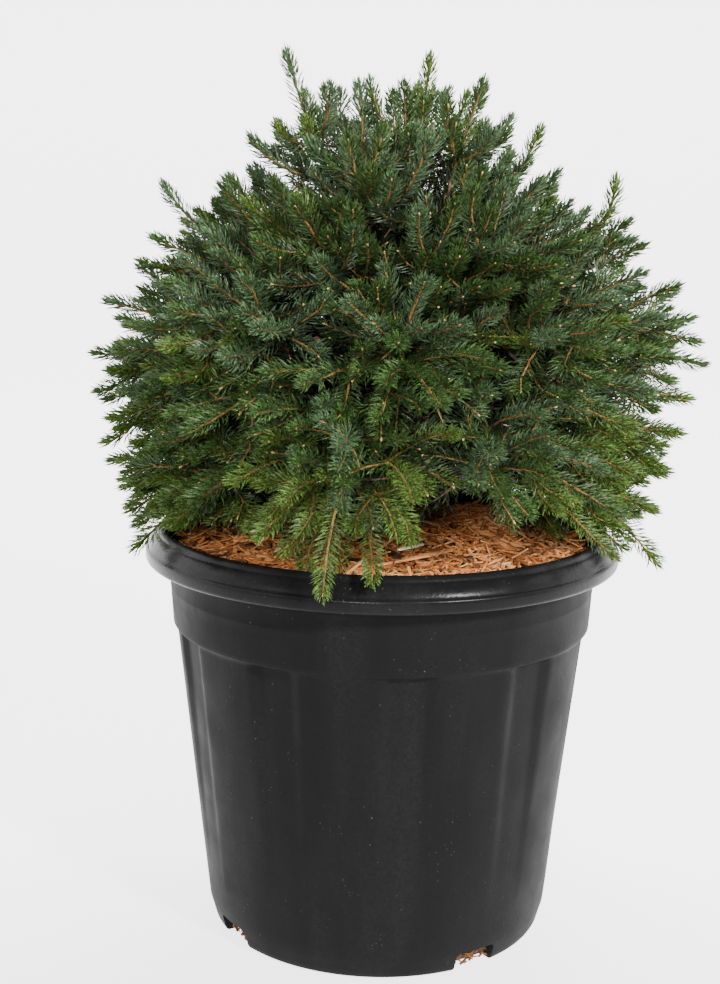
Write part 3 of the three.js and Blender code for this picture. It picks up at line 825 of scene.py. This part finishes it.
def needle_tree():
    """Needles all round each shoot, in a spiral, closing to a tuft at its tip."""
    kinds = {"Needle": "Object", "Spacing": "Float", "Length": "Float", "Width": "Float"}
    tree = Tree("needles_on_shoots", **kinds, Material="Material")
    given = tree.given
    fine = tree.node("ResampleCurve", {"Curve": tree.curve(), "Length": given["Spacing"]}, mode="LENGTH")[0]
    along = tree.node("SplineParameter")["Factor"]
    upright = tree.aligned("Y", tuple(UP), "Z", Rotation=tree.aligned("Z", tree.tangent()))
    index = tree.node("InputIndex")[0]
    spiral = tree.plus(tree.times(index, TIPS.golden), tree.between(*STAND.sway, 1))
    parted = tree.plus(spiral, tree.times(tree.maths("SINE", tree.times(spiral, 2.0)), STAND.parted))
    fanned = tree.times(tree.times(tree.attribute("tuft"), along), STAND.fanned)
    closing = tree.plus(tree.times(tree.maths("POWER", along, 8.0), STAND.closing), fanned)
    lean = tree.minus(tree.between(*STAND.lean, 2), closing)
    turned = tree.turned(tree.turned(upright, tree.euler(z=parted)), tree.euler(x=lean))
    lifted = tree.aligned("Z", tuple(UP), Rotation=turned, Factor=STAND.lifted)
    off_middle = tree.maths("ABSOLUTE", tree.minus(tree.times(along, 2.0), 2 * STAND.longest_at))
    fuller = tree.minus(1.0, tree.times(tree.maths("POWER", off_middle, 3.0), STAND.shorter_ends))
    long = tree.times(tree.times(fuller, tree.attribute("size")), tree.between(*STAND.long, 3))
    wide = tree.times(given["Width"], tree.between(*STAND.wide, 4))
    scale = tree.vector(wide, wide, tree.times(long, given["Length"]))
    tree.strew(Points=fine, Instance=tree.model("Needle"), Rotation=lifted, Scale=scale)
    return tree


def twig_tree():
    """A round twig along each chain of edges, as thick as its size attribute says."""
    tree = Tree("twigs_on_paths", Sides="Int", Material="Material")
    circle = tree.node("CurvePrimitiveCircle", {"Resolution": tree.given["Sides"], "Radius": 1.0})[0]
    links = {"Profile Curve": circle, "Scale": tree.attribute("size"), "Fill Caps": True}
    skin = tree.node("CurveToMesh", {"Curve": tree.curve(), **links})[0]
    tree.finish(tree.node("SetShadeSmooth", {"Geometry": skin, "Shade Smooth": True})[0])
    return tree


def bud_tree():
    """A resting bud at the end of each shoot."""
    tree = Tree("buds_on_tips", Bud="Object", Material="Material")
    ends = tree.node("CurveEndpointSelection", {"Start Size": 0, "End Size": 1})[0]
    aim = tree.aligned("Z", tree.tangent())
    size = tree.between(0.8, 1.25, 5)
    tree.strew(Points=tree.curve(), Selection=ends, Instance=tree.model("Bud"), Rotation=aim, Scale=size)
    return tree


def shred_tree():
    """Shreds of bark strewn over the bed, lying nearly flat and turned every way."""
    kinds = {"Density": "Float", "Lift": "Float", "Seed": "Int", "Smallest": "Float", "Largest": "Float"}
    tree = Tree("shreds_on_bed", Shreds="Collection", **kinds, Material="Material")
    given = tree.given
    links = {"Mesh": given["Geometry"], "Density": given["Density"], "Seed": given["Seed"]}
    dots = tree.node("DistributePointsOnFaces", links)
    tilt = tree.euler(
        tree.between(-0.45, 0.45, 11), tree.between(-0.32, 0.32, 12), tree.between(0.0, 6.283, 13),
    )
    off_bed = tree.vector(z=tree.times(tree.between(0.1, 1.0, 14), given["Lift"]))
    raised = tree.node("SetPosition", {"Geometry": dots["Points"], "Offset": off_bed})[0]
    links = {"Collection": given["Shreds"], "Separate Children": True, "Reset Children": True}
    shreds = tree.node("CollectionInfo", links)[0]
    pick = tree.node("FunctionNodeRandomValue", {2: 0.0, 3: 1.0, "Seed": 15}, data_type="FLOAT")[1]
    wide = tree.between(0.5, 1.15, 16)
    tree.strew(
        Points=raised, Instance=shreds, Pick_Instance=True,
        Instance_Index=tree.maths("FLOOR", tree.times(pick, len(SHREDS) - 0.01)),
        Rotation=tree.turned(dots["Rotation"], tilt),
        Scale=tree.vector(tree.between(given["Smallest"], given["Largest"], 17), wide, wide),
    )
    return tree


# Materials


def shade(rgba, share):
    """A colour made darker or lighter."""
    return tuple(min(1, c * share) for c in rgba[:3]) + (1,)


class Finish(Nodes):
    """A material on a principled shader, with short calls for its pattern."""

    prefix, clamp = "ShaderNode", True

    def __init__(self, name, **values):
        self.material = bpy.data.materials.new(name)
        self.material.use_nodes = True
        tree = self.material.node_tree
        self.nodes, self.links = tree.nodes, tree.links
        self.shader = self.nodes["Principled BSDF"].inputs
        self.place = self.node("TexCoord")["Object"]
        self.set(**values)

    def set(self, **values):
        for key, value in values.items():
            self.fill(self.shader[key.replace("_", " ")], value)

    def stretched(self, scale):
        return self.node("Mapping", {"Vector": self.place, "Scale": scale})[0]

    def noise(self, scale, detail=3.0, place=None):
        links = {"Vector": place or self.place, "Scale": scale, "Detail": detail, "Roughness": 0.55}
        return self.node("TexNoise", links)[0]

    def cells(self, scale, place=None):
        return self.node("TexVoronoi", {"Vector": place or self.place, "Scale": scale})["Distance"]

    def ramp(self, value, low, high, start=0.0, end=1.0):
        links = {"Value": value, "From Min": low, "From Max": high, "To Min": start, "To Max": end}
        return self.node("MapRange", links)[0]

    def mix(self, share, a, b):
        return self.node("Mix", {0: share, 6: a, 7: b}, data_type="RGBA")[2]

    def bump(self, height, strength, distance):
        links = {"Strength": strength, "Distance": distance, "Height": height}
        self.set(Normal=self.node("Bump", links)[0])


def plastic_finish(sizes):
    """Black moulded plastic, glossier at its rim, with dust, pale specks, scuffs and a faint grain."""
    f = Finish("black_container_plastic")
    plastic, dust = tuple(sizes.plastic), tuple(sizes.dust)
    rim = f.ramp(f.node("SeparateXYZ", {0: f.place})[2], 0.2485, 0.2505)
    mottle = f.noise(520.0, 5.0)
    streak = f.noise(30.0, 4.0, f.stretched((1.0, 1.0, 0.1)))
    dusty = f.times(f.ramp(streak, 0.4, 0.75), f.ramp(mottle, 0.3, 0.75))
    fine = f.times(f.ramp(f.cells(330.0), 0.13, 0.06), f.ramp(f.noise(55.0, 2.0), 0.55, 0.63))
    coarse = f.times(f.ramp(f.cells(150.0), 0.085, 0.045), f.ramp(f.noise(31.0, 2.0), 0.56, 0.62))
    specks = f.times(f.maths("MAXIMUM", fine, coarse), 0.5)
    uneven = f.ramp(f.noise(34.0, 3.0), 0.3, 0.7, 0.46, 0.6)
    scuff = f.noise(120.0, 4.0, f.stretched((1.0, 1.0, 0.2)))
    f.set(
        Base_Color=f.mix(specks, f.mix(f.times(dusty, 0.06), plastic, dust), dust),
        Roughness=f.minus(uneven, f.times(rim, 0.27)),
        Specular_IOR_Level=f.ramp(rim, 0.0, 1.0, 0.035, 0.07),
    )
    f.bump(f.plus(f.times(mottle, 0.5), f.times(scuff, 0.35)), 0.35, 0.0007)
    return f.material


def shred_finish(name, rgba, dark):
    """Torn bark, finely rough, each patch a little lighter or darker."""
    f = Finish(name, Roughness=0.85, Specular_IOR_Level=0.25)
    fibre = f.noise(420.0, 4.0)
    share = f.plus(f.times(fibre, 0.55), f.times(f.noise(90.0, 2.0), 0.45))
    f.set(Base_Color=f.mix(share, shade(rgba, dark), tuple(rgba)))
    f.bump(fibre, 0.6, 0.0008)
    return f.material


def soil_finish(rgba):
    f = Finish("growing_medium", Roughness=0.95, Specular_IOR_Level=0.15)
    crumbs = f.noise(260.0, 5.0)
    f.set(Base_Color=f.mix(f.ramp(crumbs, 0.35, 0.7), tuple(rgba), shade(rgba, 5)))
    f.bump(crumbs, 0.8, 0.002)
    return f.material


def wood_finish(name, rgba, scale, pale):
    """Bark with small scales, darker in its hollows."""
    f = Finish(name, Roughness=0.8, Specular_IOR_Level=0.3)
    scales = f.cells(scale, f.stretched((1.0, 1.0, 0.45)))
    grain = f.noise(scale * 1.7, 4.0)
    share = f.plus(f.ramp(scales, 0.1, 0.6, 0.0, 0.6), f.times(grain, 0.5))
    f.set(Base_Color=f.mix(share, shade(rgba, 0.45), shade(rgba, pale)))
    f.bump(f.plus(f.times(scales, 0.7), f.times(grain, 0.4)), 0.7, 0.0015)
    return f.material


def needle_finish(name, rgba):
    """Waxy needles, some darker and duller than their neighbours, and with painted shade deep in the crown.
    """
    f = Finish(name, Specular_IOR_Level=0.26)
    lit = f.mix(f.ramp(f.noise(650.0, 2.0), 0.4, 0.66), shade(rgba, 0.45), shade(rgba, 2.7))
    # Painted shade: the colour dims towards the crown's middle, by distance from its centre
    off = f.node("VectorMath", {0: f.place, 1: tuple(CENTRE * MM)}, operation="SUBTRACT")[0]
    scaled = f.node("VectorMath", {0: off, 1: PAINTED_SHADE.per_reach}, operation="MULTIPLY")[0]
    out = f.ramp(f.node("VectorMath", {0: scaled}, operation="LENGTH")["Value"], PAINTED_SHADE.begin, PAINTED_SHADE.end)
    f.set(Base_Color=f.mix(out, shade(rgba, PAINTED_SHADE.dim), lit))
    f.set(Roughness=f.ramp(f.noise(150.0, 2.0), 0.3, 0.7, 0.42, 0.58))
    return f.material


# The pieces


def flute_share(angle):
    """The share of a flute's depth at an angle from the front, in degrees."""
    period = 360 / FLUTES.count
    off = np.abs((angle - FLUTES.turn + period / 2) % period - period / 2)
    share = np.clip((FLUTES.half_top - off) / (FLUTES.half_top - FLUTES.half_floor), 0, 1)
    return share * share * (3 - 2 * share)


def flute_depth(sizes, z):
    """How deep the flutes are at a height on the outside, in millimetres."""
    if not FLUTES.fade_z < z < FLUTES.top_z:
        return 0.0
    return sizes.flute_depth / MM * min(1, (z - FLUTES.fade_z) / (POT.body_z - FLUTES.fade_z))


def container_profiles():
    """Radius and height up the outside of the wall and over the rim, and down the inside."""
    foot = [(40, 0), (80, 0), (105, 0), (110, 0.2), (111.6, 1), (112.6, 2.6), (113.6, 6), (114.7, 10)]
    (low_r, low_z), (high_r, high_z) = WALL_LINE
    steps = [k / 24 for k in range(25)]
    wall = [(low_r + (high_r - low_r) * t, low_z + (high_z - low_z) * t) for t in steps]
    w = POT.wall
    inside = [
        (144.6, 258), (POT.collar - w, 248), (POT.collar_foot - w, 210), (POT.body - w - 3.6, 203),
        (POT.stand - w, 6), (POT.stand - w - 2, POT.floor), (60, POT.floor),
    ]
    return foot + wall + COLLAR + RIM, inside


def cut_notches(shell):
    """The container's mesh with its drainage notches cut out."""
    pot = placed("container_shell", shell)
    cutters = bmesh.new()
    for k in range(NOTCH.count):
        turn = Matrix.Rotation(radians(NOTCH.turn + 360 * k / NOTCH.count), 4, "Z")
        deep = NOTCH.outer - NOTCH.inner
        extent = Matrix.Diagonal((2 * NOTCH.half_width * MM, deep * MM, 2 * NOTCH.height * MM, 1))
        place = Matrix.Translation((0, -(NOTCH.inner + NOTCH.outer) / 2 * MM, 0))
        bmesh.ops.create_cube(cutters, size=1, matrix=turn @ place @ extent)
    outward = []
    for edge in cutters.edges:
        a, b = (v.co for v in edge.verts)
        if a.z > 0 and abs((a - b).normalized().xy.dot(a.normalized().xy)) > 0.9:
            outward.append(edge)
    bmesh.ops.bevel(
        cutters, geom=outward, offset=NOTCH.corner * MM, segments=5, affect="EDGES", profile=0.5,
    )
    cut_mesh = bpy.data.meshes.new("notch_cutters")
    cutters.to_mesh(cut_mesh)
    cutters.free()
    cutter = placed("notch_cutters", cut_mesh)
    cut_out = pot.modifiers.new("notches", "BOOLEAN")
    cut_out.operation = "DIFFERENCE"
    cut_out.object = cutter
    cut_out.solver = "EXACT"
    mesh = bpy.data.meshes.new_from_object(pot.evaluated_get(bpy.context.evaluated_depsgraph_get()))
    bpy.data.objects.remove(pot)
    bpy.data.objects.remove(cutter)
    return mesh


def build_container(sizes):
    outside, inside = container_profiles()
    angles = 360 * np.arange(sizes.segments) / sizes.segments
    at, share = np.radians(angles), flute_share(angles)
    rings = [ring(r - flute_depth(sizes, z) * share, at, z) for r, z in outside]
    rings += [ring(r, at, z) for r, z in inside]
    points, faces = closed_skin(rings, (0, 0, 0), (0, 0, POT.floor))
    mesh = cut_notches(mesh_of("container_shell", points * MM, faces))
    mesh.name = "container"
    mesh.materials.clear()
    piece = new_piece("container", mesh, plastic_finish(sizes))
    mesh.set_sharp_from_angle(angle=radians(50))
    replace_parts(piece, "pot")


def bed_height(x, y):
    """Height of the bark's surface, in millimetres."""
    dome = FILL.edge_z + (FILL.middle_z - FILL.edge_z) * (1 - (np.hypot(x, y) / FILL.edge_radius) ** 2)
    return dome + 1.3 * np.sin(x * 0.11 + 1) * np.cos(y * 0.13) + 0.7 * np.sin(x * 0.31 + y * 0.27) - 1.2


def build_medium(colours):
    """The medium that fills the container, with an uneven top."""
    at = round_angles(160)
    under = [
        (POT.collar_foot - 4.2, 212), (POT.body - 7.4, 203), (POT.stand - 4.5, 12),
        (POT.stand - 5, FILL.foot_z), (20, FILL.foot_z),
    ]
    rings = []
    for j, (r, z) in enumerate(under):
        rings.insert(0, ring(r - 0.8 * np.abs(np.sin(at * 23 + j)) * (z > 4), at, z))
    for r in [140.6, 139, *np.linspace(6, 136, 40)[::-1]]:
        x, y = r * np.sin(at), -r * np.cos(at)
        z = bed_height(x, y) - 1.0 + 0.7 * np.sin(x * 1.3) * np.sin(y * 1.1 + r)
        rings.append(ring(r, at, np.minimum(z, 266)))
    points, faces = closed_skin(rings, (0, 0, FILL.foot_z), (0, 0, bed_height(0, 0) - 1))
    mesh = mesh_of("growing_medium", points * MM, faces)
    piece = new_piece("growing_medium", mesh, soil_finish(colours.soil))
    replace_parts(piece, "bark_fill")


def shred(length, width, thick, bend, ragged, rng):
    """One torn shred of bark with split ends, along X."""
    points = []
    for j, s in enumerate(np.linspace(-0.5, 0.5, 4)):
        w = width * (0.55 + 0.45 * (1 - abs(2 * s))) * (1 + ragged * (rng.random() - 0.5))
        lift = bend * (s * s - 0.1) * length
        twist = 0.35 * (rng.random() - 0.5)
        slip = width * ragged * (rng.random() - 0.5)
        split = width * 0.3 * ragged * (j in (0, 3))
        for a, b in ((-1, -1), (1, -1), (1, 1), (-1, 1)):
            y = slip + a * w / 2
            points.append((s * length + a * split, y, lift + b * thick / 2 + twist * y))
    return mesh_of("shred", np.array(points) * MM, [(3, 2, 1, 0), (12, 13, 14, 15), *grid_faces(4, 4)])


def bed_surface():
    """The part of the bark's surface that shreds are strewn on."""
    spread = np.linspace(-1, 1, 90) * 137
    x, y = np.meshgrid(spread, spread, indexing="ij")
    points = np.stack([x.ravel(), y.ravel(), bed_height(x, y).ravel() - 0.4], 1)
    radius = np.hypot(points[:, 0], points[:, 1])
    quads = [f for f in grid_faces(90, 90, closed=False) if max(radius[list(f)]) < 136.5]
    return mesh_of("bed_surface", points * MM, [f[::-1] for f in quads if radius[f[0]] > 17])


def build_shreds(colours):
    """The shredded bark on top, in four tones, and two larger slivers."""
    rng = np.random.default_rng(11)
    kinds = bpy.data.collections.new("shred_kinds")
    bpy.context.scene.collection.children.link(kinds)
    for sizes in SHREDS:
        kinds.objects.link(bpy.data.objects.new("shred_kind", shred(*sizes, rng)))
    surface = bed_surface()
    tree = shred_tree()
    amber = tuple(0.5 * (a + b) for a, b in zip(colours.warm, colours.light))
    for name, rgba, dark, amount, smallest, largest, seed in (
        ("bark_shreds_warm", colours.warm, 0.42, 1.0, 0.55, 1.4, 21),
        ("bark_shreds_light", colours.light, 0.55, 0.6, 0.5, 1.4, 22),
        ("bark_shreds_brown", colours.brown, 0.35, 0.7, 0.45, 1.25, 23),
        ("bark_shreds_amber", amber, 0.5, 0.8, 0.4, 1.2, 24),
    ):
        mesh = tree.apply(
            surface.copy(), name, Shreds=kinds, Density=colours.chips * amount, Lift=colours.lift,
            Seed=seed, Smallest=smallest, Largest=largest, Material=shred_finish(name, rgba, dark),
        )
        new_piece(name, mesh, smooth=False)
    for name, rgba, start, end, width in SLIVERS:
        run = np.subtract(end, start)
        x, y = np.add(start, end) / 2
        height = bed_height(x, y) + 5.2
        turn = Matrix.Rotation(atan2(run[1], run[0]), 4, "Z")
        mesh = shred(np.hypot(*run), width, 1.4, 0.02, 0.3, rng)
        mesh.transform(Matrix.Translation((x * MM, y * MM, height * MM)) @ turn)
        new_piece(name, mesh, shred_finish(name, rgba, 0.75), smooth=False)
    for item in list(kinds.objects):
        bpy.data.objects.remove(item)
    bpy.data.collections.remove(kinds)


def build_wood(crown, masses):
    top = masses[0].foot
    rings = [trunk_middle(z, top) for z in np.linspace(TRUNK.foot_z, top[2] - 0.3, 46)]
    trunk = limb([m for m, _ in rings], [r * 0.97 for _, r in rings], 26, 0.05)
    wood = wood_finish("trunk_wood", crown.old_wood, 210.0, 1.5)
    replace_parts(new_piece("trunk_wood", join_parts("trunk_wood", [trunk]), wood), "trunk")
    parts = []
    for mass in masses[1:]:
        path, root_radius = bough_path(mass, top)
        radii = np.linspace(root_radius, BOUGH.tip * 0.9, len(path))
        radii[:3] *= (1.35, 1.18, 1.06)
        parts.append(limb(path, radii, 12, 0.045))
    wood = wood_finish("bough_wood", shade(crown.old_wood, 1.25), 320.0, 1.6)
    piece = new_piece("bough_wood", join_parts("bough_wood", parts), wood)
    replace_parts(piece, *[n for n in frame["nodes"] if n.startswith("bough_")])


def build_roots(colours):
    """Root threads that show in the drainage notches."""
    draw = seeded(31)
    paths, sizes = [], []
    for k in range(NOTCH.count):
        turn = radians(NOTCH.turn + 360 * k / NOTCH.count)
        out, along = np.array([sin(turn), -cos(turn), 0]), np.array([cos(turn), sin(turn), 0])
        for _ in range(26):
            start = out * (104 + 5 * draw()) + along * (24 * draw() - 12) + UP * (1.5 + 9 * draw())
            end = start + along * (14 * draw() - 7) - UP * (start[2] * 0.7 * draw())
            end += out * (5 * draw() - 2)
            bend = (start + end) / 2 + out * 3 * draw() + UP * (3 * draw())
            paths.append(bezier(start, bend, end, 6))
            sizes.append(np.full(6, (0.35 + 0.45 * draw()) * MM))
    finish = wood_finish("roots", shade(colours.brown, 0.3), 500.0, 1.6)
    mesh = twig_tree().apply(polylines("roots", paths, size=sizes), "roots", Sides=5, Material=finish)
    new_piece("roots", mesh)


def needle_seed():
    """A needle one unit long on Z: keeled, widest past its middle, sharp and a little curved."""
    points = [(0, 0, 0), (-0.5, -0.35, 0.64), (0.5, -0.35, 0.64), (0, 0.5, 1.0)]
    faces = [(0, 2, 1), (3, 1, 2), (0, 1, 3), (0, 3, 2)]
    return placed("needle_seed", mesh_of("needle_seed", points, faces))


def bud_seed():
    """A blunt bud on Z."""
    rings = []
    for j, (r, z) in enumerate(((0.75, 0), (0.7, 1.3))):
        at = round_angles(4) + pi / 4 * j
        rings.append(np.stack([r * np.cos(at), r * np.sin(at), 0 * at + z], 1))
    points, faces = closed_skin(rings, (0, 0, -0.8), (0, 0, 2.4))
    return placed("bud_seed", mesh_of("bud_seed", points * MM, faces))


def build_crown(crown):
    shoots = Shoots(crown)
    build_wood(crown, shoots.masses)
    twigs = twig_tree()
    for name, limbs, rgba, scale in (
        ("young_twigs", shoots.young_wood, crown.young_wood, 500.0),
        ("old_twigs", shoots.old_wood, crown.old_wood, 400.0),
    ):
        radii = [np.linspace(thick, thin, len(path)) * MM for path, thick, thin in limbs]
        source = polylines(name, [path for path, _, _ in limbs], size=radii)
        mesh = twigs.apply(source, name, Sides=5, Material=wood_finish(name, rgba, scale, 1.5))
        new_piece(name, mesh)
    build_needles(crown, shoots.sprays)
    bud = bud_seed()
    source = polylines("buds", [path for path, _, _ in shoots.young_wood])
    scales = wood_finish("bud_scales", crown.bud, 900.0, 1.3)
    new_piece("buds", bud_tree().apply(source, "buds", Bud=bud, Material=scales))
    bpy.data.objects.remove(bud)


def build_needles(crown, sprays):
    """The needles, in two pieces for each tone; the inner old ones are fewer and broader."""
    foliage = [n for n in frame["nodes"] if n.startswith("foliage_")]
    needle, rule = needle_seed(), needle_tree()
    for tone, sparse, broad in (("glaucous", 1, 1), ("middle", 1, 1), ("fresh", 1, 1), ("old", 2.2, 1.7)):
        chosen = [spray for spray in sprays if spray[1] == tone]
        for k, light in enumerate((1.0, 0.78)):
            paths, _, sizes, tufts = zip(*chosen[k::2])
            name = f"needles_{tone}_{k + 1}"
            numbers = {
                key: [np.full(len(path), value) for path, value in zip(paths, values)]
                for key, values in (("size", sizes), ("tuft", tufts))
            }
            mesh = rule.apply(
                polylines(name, paths, **numbers), name, Needle=needle,
                Spacing=crown.needle_spacing * sparse, Length=crown.needle_length,
                Width=crown.needle_width * broad,
                Material=needle_finish(name, shade(getattr(crown, tone), light)),
            )
            piece = new_piece(name, mesh, smooth=False)
            if foliage:
                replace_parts(piece, *foliage)
                foliage = []
    bpy.data.objects.remove(needle)


def build_stage(stage):
    """A pale round floor that curves up into a wall at the back and sides, soft lights and the camera."""
    profile = [(0.01, 0), (0.6, 0), (1.4, 0), (ROOM.radius - ROOM.curve, 0)]
    for k in range(1, 13):
        a = pi / 2 * k / 12
        profile.append((ROOM.radius - ROOM.curve * (1 - sin(a)), ROOM.curve * (1 - cos(a))))
    profile.append((ROOM.radius, ROOM.height))
    n = 96
    points = np.concatenate([ring(r, round_angles(n), z) for r, z in profile])
    faces = [f[::-1] for f in grid_faces(len(profile), n)] + [tuple(range(n))]
    faces = [f for f in faces if points[list(f), 2].max() == 0 or points[list(f), 1].min() > ROOM.open_y]
    mesh = mesh_of("studio_sweep", points, faces)
    mesh.polygons.foreach_set("use_smooth", np.full(len(mesh.polygons), True))
    paper = Finish("sweep_paper", Roughness=0.7, Base_Color=tuple(stage.floor), Emission_Color=(1, 1, 1, 1))
    depth = paper.node("SeparateXYZ", {0: paper.place})[1]
    paper.set(Emission_Strength=paper.ramp(depth, -0.9, 0.1, stage.glow * 0.09, stage.glow))
    mesh.materials.append(paper.material)
    floor = placed("studio_sweep", mesh)
    for name, place, target, size, power in LIGHTS:
        data = bpy.data.lights.new(name, "AREA")
        data.shape = "DISK"
        data.size = size
        data.energy = stage.key * power
        lamp = placed(name, data)
        lamp.location = place
        lamp.rotation_euler = (Vector(target) - Vector(place)).to_track_quat("-Z", "Y").to_euler()
        lamp.visible_camera = False
    world = bpy.data.worlds.new("studio_air")
    world.use_nodes = True
    background = world.node_tree.nodes["Background"].inputs
    background["Color"].default_value = (1, 1, 1, 1)
    background["Strength"].default_value = AIR_LIGHT
    bpy.context.scene.world = world
    aim_camera(stage)


def aim_camera(stage):
    pitch, roll = CAMERA.pitch, CAMERA.roll
    ahead = Vector((0, cos(pitch), -sin(pitch)))
    up = Vector((0, sin(pitch), cos(pitch)))
    right = Vector((1, 0, 0))
    x = right * cos(roll) + up * sin(roll)
    y = up * cos(roll) - right * sin(roll)
    data = bpy.data.cameras.new("camera")
    data.lens = stage.lens
    data.sensor_width = 36
    data.shift_y = CAMERA.shift_y
    camera = placed("camera", data)
    camera.matrix_world = Matrix.Translation(EYE * MM) @ Matrix((x, y, -ahead)).transposed().to_4x4()
    bpy.context.scene.camera = camera


# Operators and panel


class SPRUCE_OT_container(bpy.types.Operator):
    """Build the fluted black container with its rim and drainage notches"""

    bl_idname = "spruce.container"
    bl_label = "Container"

    def execute(self, context):
        build_container(context.scene.spruce_container)
        return {"FINISHED"}


class SPRUCE_OT_bark(bpy.types.Operator):
    """Build the growing medium, strew the bark shreds over it and add the roots"""

    bl_idname = "spruce.bark"
    bl_label = "Bark"

    def execute(self, context):
        build_medium(context.scene.spruce_bark)
        build_shreds(context.scene.spruce_bark)
        build_roots(context.scene.spruce_bark)
        return {"FINISHED"}


class SPRUCE_OT_crown(bpy.types.Operator):
    """Grow the trunk, boughs, twigs, needles and buds"""

    bl_idname = "spruce.crown"
    bl_label = "Crown"

    def execute(self, context):
        build_crown(context.scene.spruce_crown)
        return {"FINISHED"}


class SPRUCE_OT_stage(bpy.types.Operator):
    """Set up the floor, the lights and the camera"""

    bl_idname = "spruce.stage"
    bl_label = "Stage"

    def execute(self, context):
        build_stage(context.scene.spruce_stage)
        return {"FINISHED"}


class SPRUCE_PT_panel(bpy.types.Panel):
    """The potted spruce's operators and settings"""

    bl_idname = "SPRUCE_PT_panel"
    bl_label = "Potted spruce"
    bl_space_type = "VIEW_3D"
    bl_region_type = "UI"
    bl_category = "Spruce"

    def draw(self, context):
        for operator, (name, kind) in zip(OPERATORS, SETTINGS.items()):
            box = self.layout.box()
            box.operator(operator.bl_idname)
            for key in kind.__annotations__:
                box.prop(getattr(context.scene, name), key)


OPERATORS = (SPRUCE_OT_container, SPRUCE_OT_bark, SPRUCE_OT_crown, SPRUCE_OT_stage)
# In the operators' order
SETTINGS = {
    "spruce_container": SpruceContainer, "spruce_bark": SpruceBark,
    "spruce_crown": SpruceCrown, "spruce_stage": SpruceStage,
}
CLASSES = (*SETTINGS.values(), *OPERATORS, SPRUCE_PT_panel)


def register():
    for cls in CLASSES:
        bpy.utils.register_class(cls)
    for name, kind in SETTINGS.items():
        setattr(bpy.types.Scene, name, PointerProperty(type=kind))


def unregister():
    for name in SETTINGS:
        delattr(bpy.types.Scene, name)
    for cls in reversed(CLASSES):
        bpy.utils.unregister_class(cls)


def main():
    register()
    bpy.ops.spruce.stage()
    bpy.ops.spruce.container()
    bpy.ops.spruce.bark()
    bpy.ops.spruce.crown()


if __name__ == "__main__":
    main()
